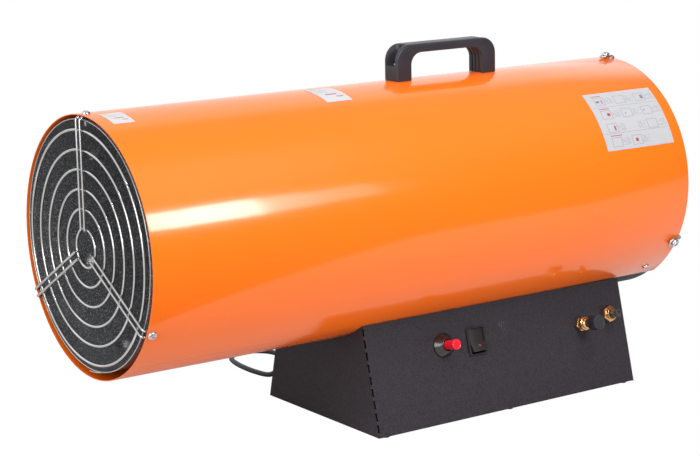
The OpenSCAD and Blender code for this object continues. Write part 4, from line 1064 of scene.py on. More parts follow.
def threaded(radius: float, length: float, pitch: float, steps: int = 32) -> Mesh:
    """Returns a threaded rod up from z = 0, with its thread as close rings and a chamfered end.

    Args:
        radius: The thread's outer radius.
        length: The rod's length.
        pitch: From ring to ring.
        steps: Segments round the rod.

    Returns:
        The new solid.
    """
    depth = pitch * 0.5
    rings = max(2, int((length - pitch) / pitch))
    profile: list[Point2] = [(0, 0)]
    for i in range(rings):
        profile += [(radius - depth, i * pitch), (radius, (i + 0.42) * pitch), (radius, (i + 0.58) * pitch)]
    profile += [(radius - depth, rings * pitch), (radius - depth, length - depth),
                (radius - 2 * depth, length), (0, length)]
    return lathe(profile, steps)


@dataclass(frozen=True)
class Screw:
    """A pan-head screw: its head's width and height, its recess's arms, and its thread's sizes."""

    width: float
    height: float
    arms: float
    radius: float
    length: float
    pitch: float

    def driven(self, name: str, node: str, heads: list[Matrix], threads: list[Matrix]) -> None:
        """Builds a group of these screws as one piece.

        Args:
            name: The piece's name.
            node: The node that it stands for.
            heads: Where each head stands, with +Z out of it.
            threads: Where each thread starts, with +Z along it.
        """
        Piece(name, (ZINC,), (node,)).add(placed(pan_head(self.width, self.height, self.arms), *heads)) \
            .add(placed(threaded(self.radius, self.length, self.pitch, 20), *threads)).finished()


def recast(node: str, edge: float = 0) -> Mesh:
    """Returns a merged copy of a node's mesh, in place, with its edges rounded by `edge`.

    Args:
        node: The node's name.
        edge: The width of the rounding, or 0 for none.

    Returns:
        The new mesh.
    """
    part = bmesh.new()
    part.from_mesh(frame["nodes"][node].data)
    bmesh.ops.remove_doubles(part, verts=part.verts, dist=2e-6)
    bmesh.ops.dissolve_limit(part, angle_limit=math.radians(0.5), verts=part.verts, edges=part.edges)
    return rounded(part, edge, 2, 40) if edge else part


class End(Enum):
    """The tube's two ends, by their side of the middle."""

    OUTLET = -1
    INTAKE = 1


@dataclass
class Casing:
    """The orange tube, the dark cover under its rear and its stickers.

    Attributes:
        big_sticker: Where the sticker lies: its start and its length along the tube, then the angles of its
            upper and its lower edge from the top towards -Y.
        small_stickers: The same for each small sticker.
    """

    rim: float = 0.00022
    segments: int = 232
    floor_segments: int = 57
    opening_front: float = 0.208
    opening_angle: float = 35.4
    cover_radius: float = 0.1337
    cover_front: float = 0.196
    cover_rear: float = 0.345
    cover_angle: float = 45.4
    screw: Screw = Screw(0.0075, 0.0022, 0.0011, 0.002, 0.007, 0.0007)
    screw_x: float = 0.326
    screw_angle: float = 42.3
    big_sticker: Box = (0.235, 0.1, 37.1, 68.6)
    small_stickers: tuple[Box, ...] = ((-0.3355, 0.024, 4.8, 18), (-0.086, 0.032, 1.5, 20.2))
    film: float = 0.0003
    film_gap: float = 0.0001
    film_corner: float = 0.0012
    film_step: float = 0.0015

    def build(self) -> None:
        """Builds the casing's pieces."""
        self.tube()
        self.cover()
        self.stickers()

    def tube(self) -> None:
        """Rolls the orange tube, open under its rear, with softened cut edges."""
        r, half = BODY.casing_r, BODY.half
        open_sweep = 2 * self.opening_angle
        shell = lathe([(r, -half), (r, self.opening_front), (r, half)], self.segments, sweep=360 - open_sweep)
        bmesh.ops.rotate(shell, verts=shell.verts, matrix=turned(self.opening_angle, "Z").to_3x3())
        floor = lathe([(r, -half), (r, self.opening_front)], self.floor_segments, sweep=open_sweep)
        bmesh.ops.rotate(floor, verts=floor.verts, matrix=turned(-self.opening_angle, "Z").to_3x3())
        piece = Piece("casing_tube", (ORANGE,), ("outer_casing",))
        piece.add(shell).add(floor)
        whole = thickened(tidied(piece.mesh), BODY.wall)
        piece.mesh = bmesh.new()
        piece.add(rounded(whole, self.rim, 2, 50), BODY.along(0, BODY.axis_z)).finished()

    def cover(self) -> None:
        """Curves the dark cover that closes the opening, with its two screws."""
        cover = strip(self.cover_radius, self.cover_front, self.cover_rear,
                      180 - self.cover_angle, 180 + self.cover_angle, BODY.wall)
        Piece("rear_cover", (DARK,), ("casing_cover",)) \
            .add(rounded(cover, self.rim, 2, 50), BODY.along(0, BODY.axis_z)).finished()
        heads = [BODY.around(180 + side * self.screw_angle, self.screw_x) @ moved(z=BODY.casing_r)
                 for side in (-1, 1)]
        self.screw.driven("cover_fixings", "cover_screws", heads,
                          [head @ moved(z=-self.screw.length) for head in heads])

    def stickers(self) -> None:
        """Lays the three stickers on the tube."""
        Piece("instruction_sticker", (BIG_LABEL,), ("instruction_label",)) \
            .add(self.film_patch(*self.big_sticker)).finished()
        small = Piece("small_stickers", (PLAIN_LABEL,), ("small_labels",))
        for spot in self.small_stickers:
            small.add(self.film_patch(*spot))
        small.finished()

    def film_patch(self, x: float, length: float, first: float, last: float) -> Mesh:
        """Bends a sticker round the tube.

        Args:
            x: Where it starts along the tube.
            length: Its length along the tube.
            first: Its upper edge's angle from the top towards -Y, in degrees.
            last: Its lower edge's angle.

        Returns:
            The sticker, with its flat layout in its UV map.
        """
        radius = BODY.casing_r + self.film_gap
        height = math.radians(last - first) * radius
        corners = oblong(length, height, self.film_corner, 4)
        outline = [(px + length / 2, py + height / 2) for px, py in corners]
        part = slab(outline, self.film)
        for i in range(1, round(height / self.film_step)):
            bmesh.ops.bisect_plane(part, geom=part.verts[:] + part.edges[:] + part.faces[:],
                                   plane_co=(0, i * self.film_step, 0), plane_no=(0, 1, 0))
        layer = part.loops.layers.uv.new(PRINT_MAP)
        for face in part.faces:
            for loop in face.loops:
                loop[layer].uv = (loop.vert.co.x / length, loop.vert.co.y / height)
        for vert in part.verts:
            angle = math.radians(last) - vert.co.y / radius
            out = radius + vert.co.z
            vert.co = (x + vert.co.x, -out * math.sin(angle), BODY.axis_z + out * math.cos(angle))
        return part


@dataclass
class Chamber:
    """The speckled combustion chamber, with its spacer dimples and its lap seam."""

    inner_radius: float = 0.1275
    front: float = -0.3495
    rear: float = 0.02
    dimple_width: float = 0.018
    dimple_inset: float = 0.0595
    dimple_angles: tuple[float, ...] = (55, 110, 160, 200, 250, 305)
    seam_angles: tuple[float, float] = (170, 183)
    seam_lift: float = 0.0026
    steps: int = 420
    row_step: float = 0.0015
    rows_beside: int = 8

    def dimple_rows(self) -> Point2:
        """Returns where the two rings of dimples lie along the tube."""
        return self.front + self.dimple_inset, self.rear - self.dimple_inset

    def build(self) -> None:
        """Rolls the chamber, presses its dimples and lays its seam."""
        rows = [self.front]
        for middle in self.dimple_rows():
            rows += [middle + i * self.row_step for i in range(-self.rows_beside, self.rows_beside + 1)]
        rows.append(self.rear)
        tube = lathe([(self.inner_radius, x) for x in rows], self.steps)
        for vert in tube.verts:
            vert.co.xy *= 1 + self.dimple_rise(vert.co) / self.inner_radius
        tube = rounded(thickened(tube, -BODY.wall), 0.00015, 1, 60)
        seam = strip(self.inner_radius + 2 * BODY.wall, self.front, self.rear, *self.seam_angles, BODY.wall)
        first, last = (math.radians(a - 180) for a in self.seam_angles)
        for vert in seam.verts:
            share = (math.atan2(vert.co.y, vert.co.x) - first) / (last - first)
            vert.co.xy *= 1 + (share * self.seam_lift - BODY.wall * 0.9) / self.inner_radius
        place = BODY.along(0, BODY.chamber_z)
        piece = Piece("chamber_tube", (CHAMBER_STEEL, CUT_STEEL), ("combustion_chamber",))
        piece.add(tube, place).add(rounded(seam, 0.0001, 1, 60), place)
        for face in piece.mesh.faces:
            if face.normal.x < -0.5 and face.calc_center_median().x < self.front + 0.001:
                face.material_index = 1
        piece.finished()

    def dimple_rise(self, spot: Vector) -> float:
        """Returns how far a point of the flat-walled tube is pressed out.

        Args:
            spot: The point, in the frame of Body.along.

        Returns:
            The rise, 0 between the dimples.
        """
        angle = 180 + math.degrees(math.atan2(spot.y, spot.x))
        for middle in self.dimple_rows():
            for centre in self.dimple_angles:
                turn = (angle - centre + 180) % 360 - 180
                away = math.hypot(spot.z - middle, math.radians(turn) * self.inner_radius)
                share = away / (self.dimple_width / 2)
                if share < 1:
                    height = BODY.casing_r - BODY.wall - 0.0003 - self.inner_radius - BODY.wall \
                        - BODY.lift * math.cos(math.radians(centre))
                    return height * (1 - share ** 2) ** 1.15
        return 0


@dataclass
class Guard:
    """Six wire rings on three hairpin spokes, screwed to one end of the tube."""

    end: End
    wire_radius: float = 0.0015
    rings: int = 6
    pitch: float = 0.0199
    ring_setback: float = 0.00024
    hook_gap: float = 0.00024
    hook_gap_outside: float = 0.0003
    head_gap: float = 0.00035
    spoke_gap: float = 0.008
    weld: float = 0.0027
    bend: float = 0.0035
    screw: Screw = Screw(0.0095, 0.0033, 0.0014, 0.002, 0.012, 0.0008)
    screw_inset: float = 0.006
    screw_turn: float = 20
    angles: tuple[float, ...] = (0, 120, 240)

    def build(self) -> None:
        """Builds the rings, spokes, weld beads and screws of this end."""
        outlet = self.end is End.OUTLET
        side = self.end.value
        hook = BODY.casing_r - BODY.wall - self.wire_radius - self.hook_gap if outlet \
            else BODY.casing_r + self.wire_radius + self.hook_gap_outside
        face = BODY.half + self.ring_setback
        mirror = Matrix.Scale(-side, 4, (1, 0, 0))
        piece = Piece("outlet_grille" if outlet else "intake_guard", (WIRE,),
                      ("front_grille",) if outlet else ("rear_guard",), smooth=50)
        section = arc((0, 0), self.wire_radius, 0, 330, 11)
        for i in range(1, self.rings + 1):
            radius = i * self.pitch
            ring = lathe([(radius + r, z) for r, z in section], 60 + 20 * i, closed=True)
            piece.add(ring, BODY.along(side * face, BODY.axis_z))
        for angle in self.angles:
            place = BODY.around(angle, 0)
            piece.add(self.hairpin(-face - self.weld, hook), place @ mirror)
            for i in range(1, self.rings + 1):
                for y in (-1, 1):
                    bead = ball(self.wire_radius * 0.95, (1.15, 1.25, 1.25), 2)
                    height = math.sqrt((i * self.pitch) ** 2 - (self.spoke_gap / 2) ** 2)
                    spot = moved(side * (face + self.weld / 2), y * self.spoke_gap / 2, height)
                    piece.add(bead, place @ spot)
        bmesh.ops.recalc_face_normals(piece.mesh, faces=piece.mesh.faces)
        piece.finished()
        self.screws(0 if outlet else 2 * self.wire_radius + self.head_gap)

    def hairpin(self, spoke_x: float, hook: float) -> Mesh:
        """Bends one spoke: out along one side, over the rim, round and back.

        Args:
            spoke_x: Where the spoke's straight legs lie, for the end at -X.
            hook: The radius at which it turns over the rim.

        Returns:
            The spoke's mesh.
        """
        start = self.pitch - self.wire_radius
        turn = -BODY.half + self.screw_inset + 3 * self.spoke_gap / 4
        y = self.spoke_gap / 2
        return wire([(spoke_x, -y, start), (spoke_x, -y, hook), (turn, -y, hook), (turn, y, hook),
                     (spoke_x, y, hook), (spoke_x, y, start)], self.wire_radius, self.bend)

    def screws(self, lift: float) -> None:
        """Drives this end's three screws.

        Args:
            lift: How far their heads stand off the tube.
        """
        outlet = self.end is End.OUTLET
        x = self.end.value * (BODY.half - self.screw_inset)
        heads = [BODY.around(a, x) @ moved(z=BODY.casing_r + lift) @ turned(self.screw_turn + a, "Z")
                 for a in self.angles]
        threads = [head @ moved(z=0.0002) @ turned(180, "X") for head in heads]
        names = ("grille_fixings", "grille_screws") if outlet else ("guard_fixings", "guard_screws")
        self.screw.driven(*names, heads, threads)


@dataclass
class Base:
    """The folded base's two sheets, with rolled bends and open stitch slots."""

    bend: float = 0.0013
    slot_first: float = 0.0102
    slot_pitch: float = 0.013
    slot_length: float = 0.009
    slot_reach: float = 0.0017
    slot_depth: float = 0.0026
    slot_over: float = 0.0006
    slots: int = 9
    tolerance: float = 2e-5

    def build(self) -> None:
        """Builds the near sheet with its slots and the far sheet."""
        near = self.folded("control_panel", -1, BODY.base_low.x)
        half = self.slot_length / 2
        for i in range(self.slots):
            tool = slab([(-self.slot_over, -half), (self.slot_reach, -half),
                         (self.slot_reach, half), (-self.slot_over, half)], 0.01)
            place = BODY.on_panel(BODY.base_low.x, self.slot_first + i * self.slot_pitch)
            near = carved(near, moved_mesh(tool, moved(z=-self.slot_depth), place))
        Piece("near_sheet", (DARK,), ("control_panel",), smooth=40).add(near).finished()
        far = self.folded("back_panel", 1, BODY.base_high.x)
        Piece("far_sheet", (DARK,), ("back_panel",), smooth=40).add(far).finished()

    def folded(self, node: str, side: int, end: float) -> Mesh:
        """Takes a sheet's shape from the frame and rolls its bends.

        Args:
            node: The sheet's node.
            side: The side of the base that it closes, as the sign of Y.
            end: The x of the end that it closes.

        Returns:
            The sheet's mesh.
        """
        part = recast(node)
        tilt = math.radians(BODY.panel_tilt)
        outer = abs(BODY.base_low.y) if side < 0 else BODY.base_high.y

        def on_face(vert: bmesh.types.BMVert) -> bool:
            """Tells whether a vertex lies on the sheet's outer side face.

            Args:
                vert: The vertex.

            Returns:
                Whether it does.
            """
            rise = vert.co.z - BODY.foot_h
            return abs(side * vert.co.y - (outer - rise * math.tan(tilt))) < self.tolerance

        folds = []
        for edge in part.edges:
            at_end = all(abs(v.co.x - end) < self.tolerance for v in edge.verts)
            at_foot = all(abs(v.co.z - BODY.foot_h) < self.tolerance for v in edge.verts)
            if (at_end or at_foot) and all(on_face(v) for v in edge.verts):
                folds.append(edge)
        bmesh.ops.bevel(part, geom=folds, offset=self.bend, offset_type="OFFSET", affect="EDGES", segments=4,
                        profile=0.5, material=-1, clamp_overlap=True)
        LOG.info("%s: %d bends", node, len(folds))
        return part


@dataclass
class Handle:
    """The moulded handle on top, with its open screw pockets and ridged grip.

    Attributes:
        seat: The radius that the undersides of the legs are hollowed to.
        sunk: Where the outline starts, as a share of that radius.
        pocket_width: A pocket's size across, as a share of the handle's width.
    """

    front: float = 0.030
    rear: float = 0.168
    width: float = 0.024
    leg: float = 0.0195
    top: float = 0.40309
    under: float = 0.39379
    seat: float = 0.1353
    sunk: float = 0.985
    corner: float = 0.018
    under_corner: float = 0.0135
    edge: float = 0.0022
    fine_edge: float = 0.0003
    pocket: float = 0.0144
    pocket_floor: float = 0.38019
    pocket_width: float = 0.667
    pocket_corner: float = 0.003
    groove: float = 0.0016
    groove_depth: float = 0.001
    groove_places: tuple[float, ...] = (-0.006, 0, 0.006)
    screw: Screw = Screw(0.0095, 0.003, 0.0013, 0.0025, 0.0243, 0.0008)
    screw_gap: float = 0.0002

    def build(self) -> None:
        """Builds the grip and its two screws."""
        length, gap = self.rear - self.front, self.rear - self.front - 2 * self.leg
        low = self.low()
        crown = [p for p in self.bow(length, self.top - low, self.corner, 14) if p[1] > low]
        body = self.across(slab([(self.rear, low), *crown, (self.front, low)], self.width, self.edge, 4))
        opening = self.bow(gap, self.under - low, self.under_corner, 10)
        body = carved(body, self.across(slab(opening, self.width * 2)))
        body = carved(body, self.barrel())
        screws = []
        for x in (self.front + self.leg / 2, self.rear - self.leg / 2):
            outwards = math.copysign(self.leg / 2, x - (self.front + self.rear) / 2)
            well = slab(oblong(self.pocket + self.leg, self.width * self.pocket_width, self.pocket_corner, 5),
                        self.top)
            body = carved(body, moved_mesh(well, moved(x + outwards, 0, self.pocket_floor)))
            screws.append(moved(x, 0, self.pocket_floor + self.screw_gap) @ turned(30, "Z"))
        for y in self.groove_places:
            outer = self.bow(gap + 2 * self.groove_depth, self.under - low + self.groove_depth,
                             self.under_corner + self.groove_depth, 12)
            ring = moved_mesh(slab(outer, self.groove), turned(90, "X"), moved(y=y + self.groove / 2))
            body = carved(body, ring)
        Piece("handle_grip", (BLACK,), ("handle",)).add(rounded(body, self.fine_edge, 2, 50)).finished()
        self.screw.driven("handle_fixings", "handle_screws", screws, [s @ turned(180, "X") for s in screws])

    def low(self) -> float:
        """Returns the height, inside the tube, that the handle's outline starts from."""
        return BODY.axis_z + self.seat * self.sunk

    def bow(self, length: float, height: float, corner: float, steps: int) -> list[Point2]:
        """Returns an oblong centred on the handle's middle and on its lowest line.

        Args:
            length: Its length.
            height: How far it reaches above the lowest line.
            corner: The radius of its corners.
            steps: Pieces to a corner.

        Returns:
            Its points.
        """
        middle, low = (self.front + self.rear) / 2, self.low()
        return [(px + middle, py + low) for px, py in oblong(length, 2 * height, corner, steps)]

    def across(self, part: Mesh) -> Mesh:
        """Stands an outline's solid up and centres it across the handle's width."""
        depth = max(v.co.z for v in part.verts)
        return moved_mesh(part, turned(90, "X"), moved(y=depth / 2))

    def barrel(self) -> Mesh:
        """Returns the solid of the tube that the handle sits on.

        Returns:
            The new solid.
        """
        front, rear = self.front - 0.01, self.rear + 0.01
        tube = lathe([(0, front), (self.seat, front), (self.seat, rear), (0, rear)], 720)
        return moved_mesh(tube, BODY.along(0, BODY.axis_z))


@dataclass
class Controls:
    """The igniter, the rocker switch, the two valves and the gas inlet on the base.

    A place on the panel is a distance along the base and one up its slope. A turned piece's section is a list
    of radii and heights over the panel, and a hexagon is its width, height and chamfer.
    """

    igniter_at: Point2 = (0.0315, 0.084)
    switch_at: Point2 = (0.0765, 0.0817)
    regulator_at: Point2 = (0.226, 0.077)
    safety_at: Point2 = (0.268, 0.082)
    inlet_at: Point3 = (0.293, -0.05, 0.0852)
    seat_gap: float = 0.00005
    bezel: Section = ((0.006, -0.034), (0.0085, -0.034), (0.0085, 0.00004), (0.0135, 0.00004),
                      (0.0135, 0.0016), (0.0073, 0.009), (0.006, 0.009))
    button: Section = ((0, -0.01), (0.0054, -0.01), (0.0054, 0.0193), (0.00565, 0.022), (0.00565, 0.0241),
                       (0.0055, 0.0246), (0.0052, 0.0248), (0.0048, 0.0247), (0.0044, 0.0243),
                       (0.003, 0.0242), (0, 0.0242))
    frame_size: Point2 = (0.0255, 0.0315)
    frame_corner: float = 0.0034
    frame_h: float = 0.0022
    frame_edge: float = 0.0009
    case_size: Point2 = (0.0214, 0.0298)
    case_depth: float = 0.017
    window_size: Point2 = (0.0194, 0.0278)
    window_depth: float = 0.009
    dot: Section = ((0, 0), (0.0016, 0), (0.0016, 0.00008), (0.0014, 0.00016), (0, 0.00018))
    dot_shift: float = 0.0015
    regulator_hex: Point3 = (0.015, 0.00595, 0.0011)
    neck: Section = ((0.00305, 0.0232), (0.0046, 0.0232), (0.0046, 0.015), (0.0062, 0.0135), (0.0062, 0.0115),
                     (0.0076, 0.0112), (0.0076, 0.008), (0.0055, 0.008), (0.0055, -0.0025), (0.009, -0.0026),
                     (0.009, -0.048), (0.00305, -0.048))
    knob_at: float = 0.0235
    knob_h: float = 0.0119
    knob_radius: float = 0.00875
    knob_ridges: int = 24
    ridge_depth: float = 0.0011
    dish: Section = ((0, 0.0112), (0.0062, 0.0113), (0.0068, 0.012), (0.0068, 0.02), (0, 0.02))
    stem: Section = ((0, -0.01), (0.0029, -0.01), (0.0029, 0.0325), (0, 0.0325))
    safety_hex: Point3 = (0.017, 0.00795, 0.0016)
    seat: Section = ((0.00356, 0.011), (0.0066, 0.011), (0.007, 0.0106), (0.007, -0.0025), (0.009, -0.0026),
                     (0.009, -0.048), (0.00356, -0.048))
    pin: Section = ((0, -0.0099), (0.0035, -0.0099), (0.0035, 0.0188), (0.0043, 0.0192), (0.0043, 0.02195),
                    (0.0029, 0.02195), (0.0029, 0.0195), (0, 0.0195))
    inlet_hex: Point3 = (0.022, 0.008, 0.0016)
    inlet_gap: float = 0.00006
    inlet_thread: Point3 = (0.0083, 0.0139, 0.0012)
    inlet_thread_at: float = 0.0081
    inlet_bore: Section = ((0, 0.002), (0.00395, 0.002), (0.00395, 0.021), (0.0046, 0.0225), (0, 0.0225))

    def build(self) -> None:
        """Builds each control where it sits."""
        self.igniter(BODY.on_panel(*self.igniter_at))
        self.switch(BODY.on_panel(*self.switch_at))
        self.regulator(BODY.on_panel(*self.regulator_at))
        self.safety_valve(BODY.on_panel(*self.safety_at))
        self.inlet(moved(*self.inlet_at) @ turned(90, "Y"))

    def igniter(self, place: Matrix) -> None:
        """Builds the cone bezel and the red push button.

        Args:
            place: Where it sits, with +Z out of the base.
        """
        Piece("igniter_bezel", (GLOSS_BLACK,), ("piezo_bezel",)) \
            .add(lathe(softened(self.bezel, 0.0005, 3), 72, closed=True), place).finished()
        Piece("igniter_button", (RED,), ("piezo_button",), "button") \
            .add(lathe(self.button, 64), place).finished()

    def switch(self, place: Matrix) -> None:
        """Builds the switch's rounded frame and its rocker with the red dot.

        Args:
            place: Where it sits, with +Z out of the base.
        """
        rim = slab(oblong(*self.frame_size, self.frame_corner, 8), self.frame_h, self.frame_edge, 4)
        case = slab(oblong(*self.case_size, 0.001, 3), self.case_depth - self.seat_gap)
        piece = Piece("switch_bezel", (SWITCH_BLACK,), ("switch_frame",))
        for part in (rim, moved_mesh(case, moved(z=-self.case_depth))):
            window = slab(oblong(*self.window_size, 0.0008, 3), 0.02)
            piece.add(carved(part, moved_mesh(window, moved(z=-self.window_depth))), place)
        piece.finished()
        rocker = recast("switch_rocker", 0.0004)
        out = place.to_3x3() @ Vector((0, 0, 1))
        up = place.to_3x3() @ Vector((0, 1, 0))
        low = [f for f in rocker.faces if (f.calc_center_median() - place.translation).dot(up) < -0.003]
        pad = max(low, key=lambda f: f.calc_area() * max(0, f.normal.dot(out)))
        spot, normal = pad.calc_center_median(), pad.normal.copy()
        facing = moved(*(spot + normal * 0.00002)) @ normal.to_track_quat("Z", "Y").to_matrix().to_4x4()
        Piece("rocker", (SWITCH_BLACK, RED_DOT), ("switch_rocker",), "rocker").add(rocker) \
            .add(lathe(self.dot, 32), facing @ moved(x=self.dot_shift), 1).finished()

    def regulator(self, place: Matrix) -> None:
        """Builds the regulator's brass body, and its ridged black knob on its spindle.

        Args:
            place: Where it sits, with +Z out of the base.
        """
        Piece("regulator_body", (BRASS,), ("regulator_valve",)) \
            .add(hexagon(*self.regulator_hex), place @ moved(z=self.seat_gap) @ turned(12, "Z")) \
            .add(lathe(softened(self.neck, 0.0004, 2), 64, closed=True), place).finished()
        ridged = []
        points = self.knob_ridges * 6
        for i in range(points):
            share = math.cos(math.radians(i * 60)) * 0.5 + 0.5
            radius = self.knob_radius - self.ridge_depth * share ** 2
            angle = math.tau * i / points
            ridged.append((radius * math.cos(angle), radius * math.sin(angle)))
        knob = carved(slab(ridged, self.knob_h, 0.0005, 2), lathe(self.dish, 48))
        Piece("regulator_cap", (KNOB_BLACK, BRASS), ("regulator_knob", "regulator_spindle"), "knob") \
            .add(knob, place @ moved(z=self.knob_at)).add(lathe(self.stem, 40), place, 1).finished()

    def safety_valve(self, place: Matrix) -> None:
        """Builds the safety valve's hexagon and its hollow-ended pin.

        Args:
            place: Where it sits, with +Z out of the base.
        """
        Piece("safety_body", (BRASS,), ("safety_valve",)) \
            .add(hexagon(*self.safety_hex), place @ moved(z=self.seat_gap) @ turned(20, "Z")) \
            .add(lathe(softened(self.seat, 0.0003, 2), 64, closed=True), place).finished()
        Piece("safety_plunger", (PIN_GREY,), ("safety_pin",), "pin") \
            .add(lathe(softened(self.pin, 0.00025, 2, loop=False), 48), place).finished()

    def inlet(self, place: Matrix) -> None:
        """Builds the threaded gas inlet that points out of the rear end.

        Args:
            place: Where it sits, with +Z out of the base.
        """
        thread = moved_mesh(threaded(*self.inlet_thread, 56), moved(z=self.inlet_thread_at))
        Piece("gas_connector", (BRASS,), ("gas_inlet",)) \
            .add(hexagon(*self.inlet_hex), place @ moved(z=self.inlet_gap)) \
            .add(carved(thread, lathe(self.inlet_bore, 40)), place).finished()


@dataclass
class Lead:
    """The mains lead: strain relief, free stretch, tied coil, tail and plug.

    Attributes:
        low: The height of the centreline where the lead lies on the floor.
        free_mm: The free stretch's points in millimetres, from the strain relief to the coil.
        tail_mm: The tail's points in millimetres, from the coil to the plug.
        plug_section: The plug's radii and heights over the place where the lead enters it.
        plug_flat: The plug's size between its flats, and across them.
        pin_spot: How far a pin lies from the plug's middle, and where it starts.
    """

    radius: float = 0.003
    gland_at: tuple[float, float] = (-0.022, 0.014)
    coil_centre: tuple[float, float] = (0.076, 0.185)
    coil_outer: float = 0.0431
    coil_pitch: float = 0.0068
    coil_turns: float = 5.25
    turn_points: int = 24
    low: float = 0.0032
    plug_at: Point3 = (0.118, 0.142, 0.014)
    tie_angle: float = 300
    free_mm: tuple[Point3, ...] = (
        (-22, 132, 21.7), (-22.4, 140, 22.5), (-23.5, 148, 20.8), (-24.9, 155, 16.7), (-26.1, 160, 11.5),
        (-27.3, 165, 7.4), (-28.9, 172, 4.2), (-30.6, 180, 3.2), (-32.4, 192, 3.2), (-33.5, 204, 3.2),
        (-33.3, 218, 3.2), (-32.4, 232, 3.2), (-30.5, 245, 3.2), (-28, 256, 3.2), (-24, 267, 3.2),
        (-16, 277, 3.2), (-5, 283, 3.2), (8, 283.5, 3.2), (20, 278.5, 3.2), (29, 269, 3.2), (33, 257, 3.2),
        (33, 244, 3.2), (33, 230, 3.2), (33, 217, 3.2), (33, 204, 3.2), (32.9, 191, 3.2),
    )
    tail_mm: tuple[Point3, ...] = (
        (82, 141.9, 10), (90, 141.9, 10.2), (97, 142, 11), (104, 142, 12.6), (111, 142, 13.7), (118, 142, 14),
    )
    plug_section: Section = (
        (0.0031, 0.0002), (0.0039, 0.0002), (0.0044, 0.006), (0.0052, 0.014), (0.0065, 0.0235),
        (0.0088, 0.0245), (0.0098, 0.028), (0.0135, 0.032), (0.0172, 0.0345), (0.0185, 0.038),
        (0.0185, 0.0598), (0.0178, 0.0608), (0, 0.0608),
    )
    plug_flat: Point2 = (0.0276, 0.05)
    pin_section: Section = ((0, 0), (0.0024, 0), (0.0024, 0.0172), (0.0021, 0.0183), (0.0013, 0.0189),
                            (0, 0.019))
    pin_spot: Point2 = (0.0095, 0.0608)

    def build(self) -> None:
        gland, plug, tie = self.gland(), self.plug(), self.tie()
        route = self.route()
        curve = bpy.data.curves.new("mains_lead", "CURVE")
        curve.dimensions = "3D"
        curve.bevel_depth = self.radius
        curve.bevel_resolution = 4
        curve.use_fill_caps = True
        curve.resolution_u = 3
        spline = curve.splines.new("NURBS")
        spline.points.add(len(route) - 1)
        spline.use_endpoint_u = True
        spline.order_u = 3
        for point, spot in zip(spline.points, route):
            point.co = (*spot, 1)
        lead = bpy.data.objects.new("mains_lead", curve)
        bpy.context.scene.collection.objects.link(lead)
        curve.materials.append(RUBBER.material())
        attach(lead, "root")
        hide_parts("power_cord", "cord_coil", "cord_tail")

    def route(self) -> list[Point3]:
        """Returns the lead's centreline, from the strain relief to the plug.

        Returns:
            Its points.
        """
        route = [tuple(c / 1000 for c in point) for point in self.free_mm]
        steps = round(self.coil_turns * self.turn_points)
        for i in range(steps + 1):
            turn = i / self.turn_points
            radius = self.coil_outer - self.coil_pitch * min(turn, self.coil_turns - turn)
            share = min(1, max(0, (turn - (self.coil_turns - 0.5) / 2) / 0.5))
            height = self.low + self.coil_pitch * (1 - math.cos(math.pi * share)) / 2
            angle = math.pi + math.tau * turn
            route.append((self.coil_centre[0] + radius * math.cos(angle),
                          self.coil_centre[1] + radius * math.sin(angle), height))
        return route + [tuple(c / 1000 for c in point) for point in self.tail_mm]

    def gland(self) -> bpy.types.Object:
        """Builds the ribbed, tapering strain relief on the back panel.

        Returns:
            The strain relief.
        """
        profile = [(0.0031, 0.0289), (0.0039, 0.0289)]
        for i in range(5):
            z = 0.0255 - i * 0.0042
            radius = 0.0039 + (0.0289 - z) / 0.0259 * 0.0021
            profile += [(radius, z + 0.0008), (radius - 0.0008, z + 0.0004), (radius - 0.0008, z - 0.0004),
                        (radius, z - 0.0008)]
        profile += [(0.006, 0.003), (0.0075, 0.003), (0.008, 0.0024), (0.008, 0.0003), (0.0031, 0.0003)]
        return Piece("strain_relief", (RUBBER,), ("cord_gland",)) \
            .add(lathe(profile, 48, closed=True), BODY.on_back(*self.gland_at)).finished()

    def plug(self) -> bpy.types.Object:
        """Builds the round moulded plug with its two pins.

        Returns:
            The plug.
        """
        place = moved(*self.plug_at) @ turned(90, "Y")
        body = lathe(self.plug_section, 96)
        flat = moved_mesh(slab(oblong(*self.plug_flat, 0.003, 4), 0.07), moved(z=-0.002))
        body = rounded(carved(body, flat, "INTERSECT"), 0.0006, 2, 35)
        pin = lathe(self.pin_section, 32)
        away, start = self.pin_spot
        ends = [place @ moved(y=side * away, z=start) for side in (-1, 1)]
        return Piece("mains_plug", (BLACK, ZINC), ("plug",)).add(body, place) \
            .add(placed(pin, *ends), skin=1).finished()

    def tie(self) -> bpy.types.Object:
        """Builds the thin wire tie that holds the coil's turns together.

        Returns:
            The tie.
        """
        outer = self.coil_outer + self.radius
        inner = self.coil_outer - self.coil_pitch * self.coil_turns / 2 - self.radius
        place = moved(*self.coil_centre) @ turned(self.tie_angle, "Z") \
            @ moved((outer + inner) / 2, 0, self.low + self.coil_pitch / 2) @ turned(90, "X")
        height = self.coil_pitch + 2 * self.radius
        loop = oblong(outer - inner + 0.0016, height + 0.0002, self.radius, 8)
        band = [(x, y, 0) for x, y in loop]
        piece = Piece("coil_tie", (BLACK,))
        for offset in (-0.0012, 0, 0.0012):
            strand = wire([(x, y, z + offset) for x, y, z in band], 0.00009 if offset else 0.0001, loop=True)
            piece.add(strand, place)
        for side in (-1, 1):
            twist = [(side * 0.0012 * math.cos(i * 0.9), height / 2 + 0.0002 + i * 0.0008,
                      side * 0.0012 * math.sin(i * 0.9)) for i in range(12)]
            piece.add(wire(twist, 0.0007), place)
        return piece.finished()


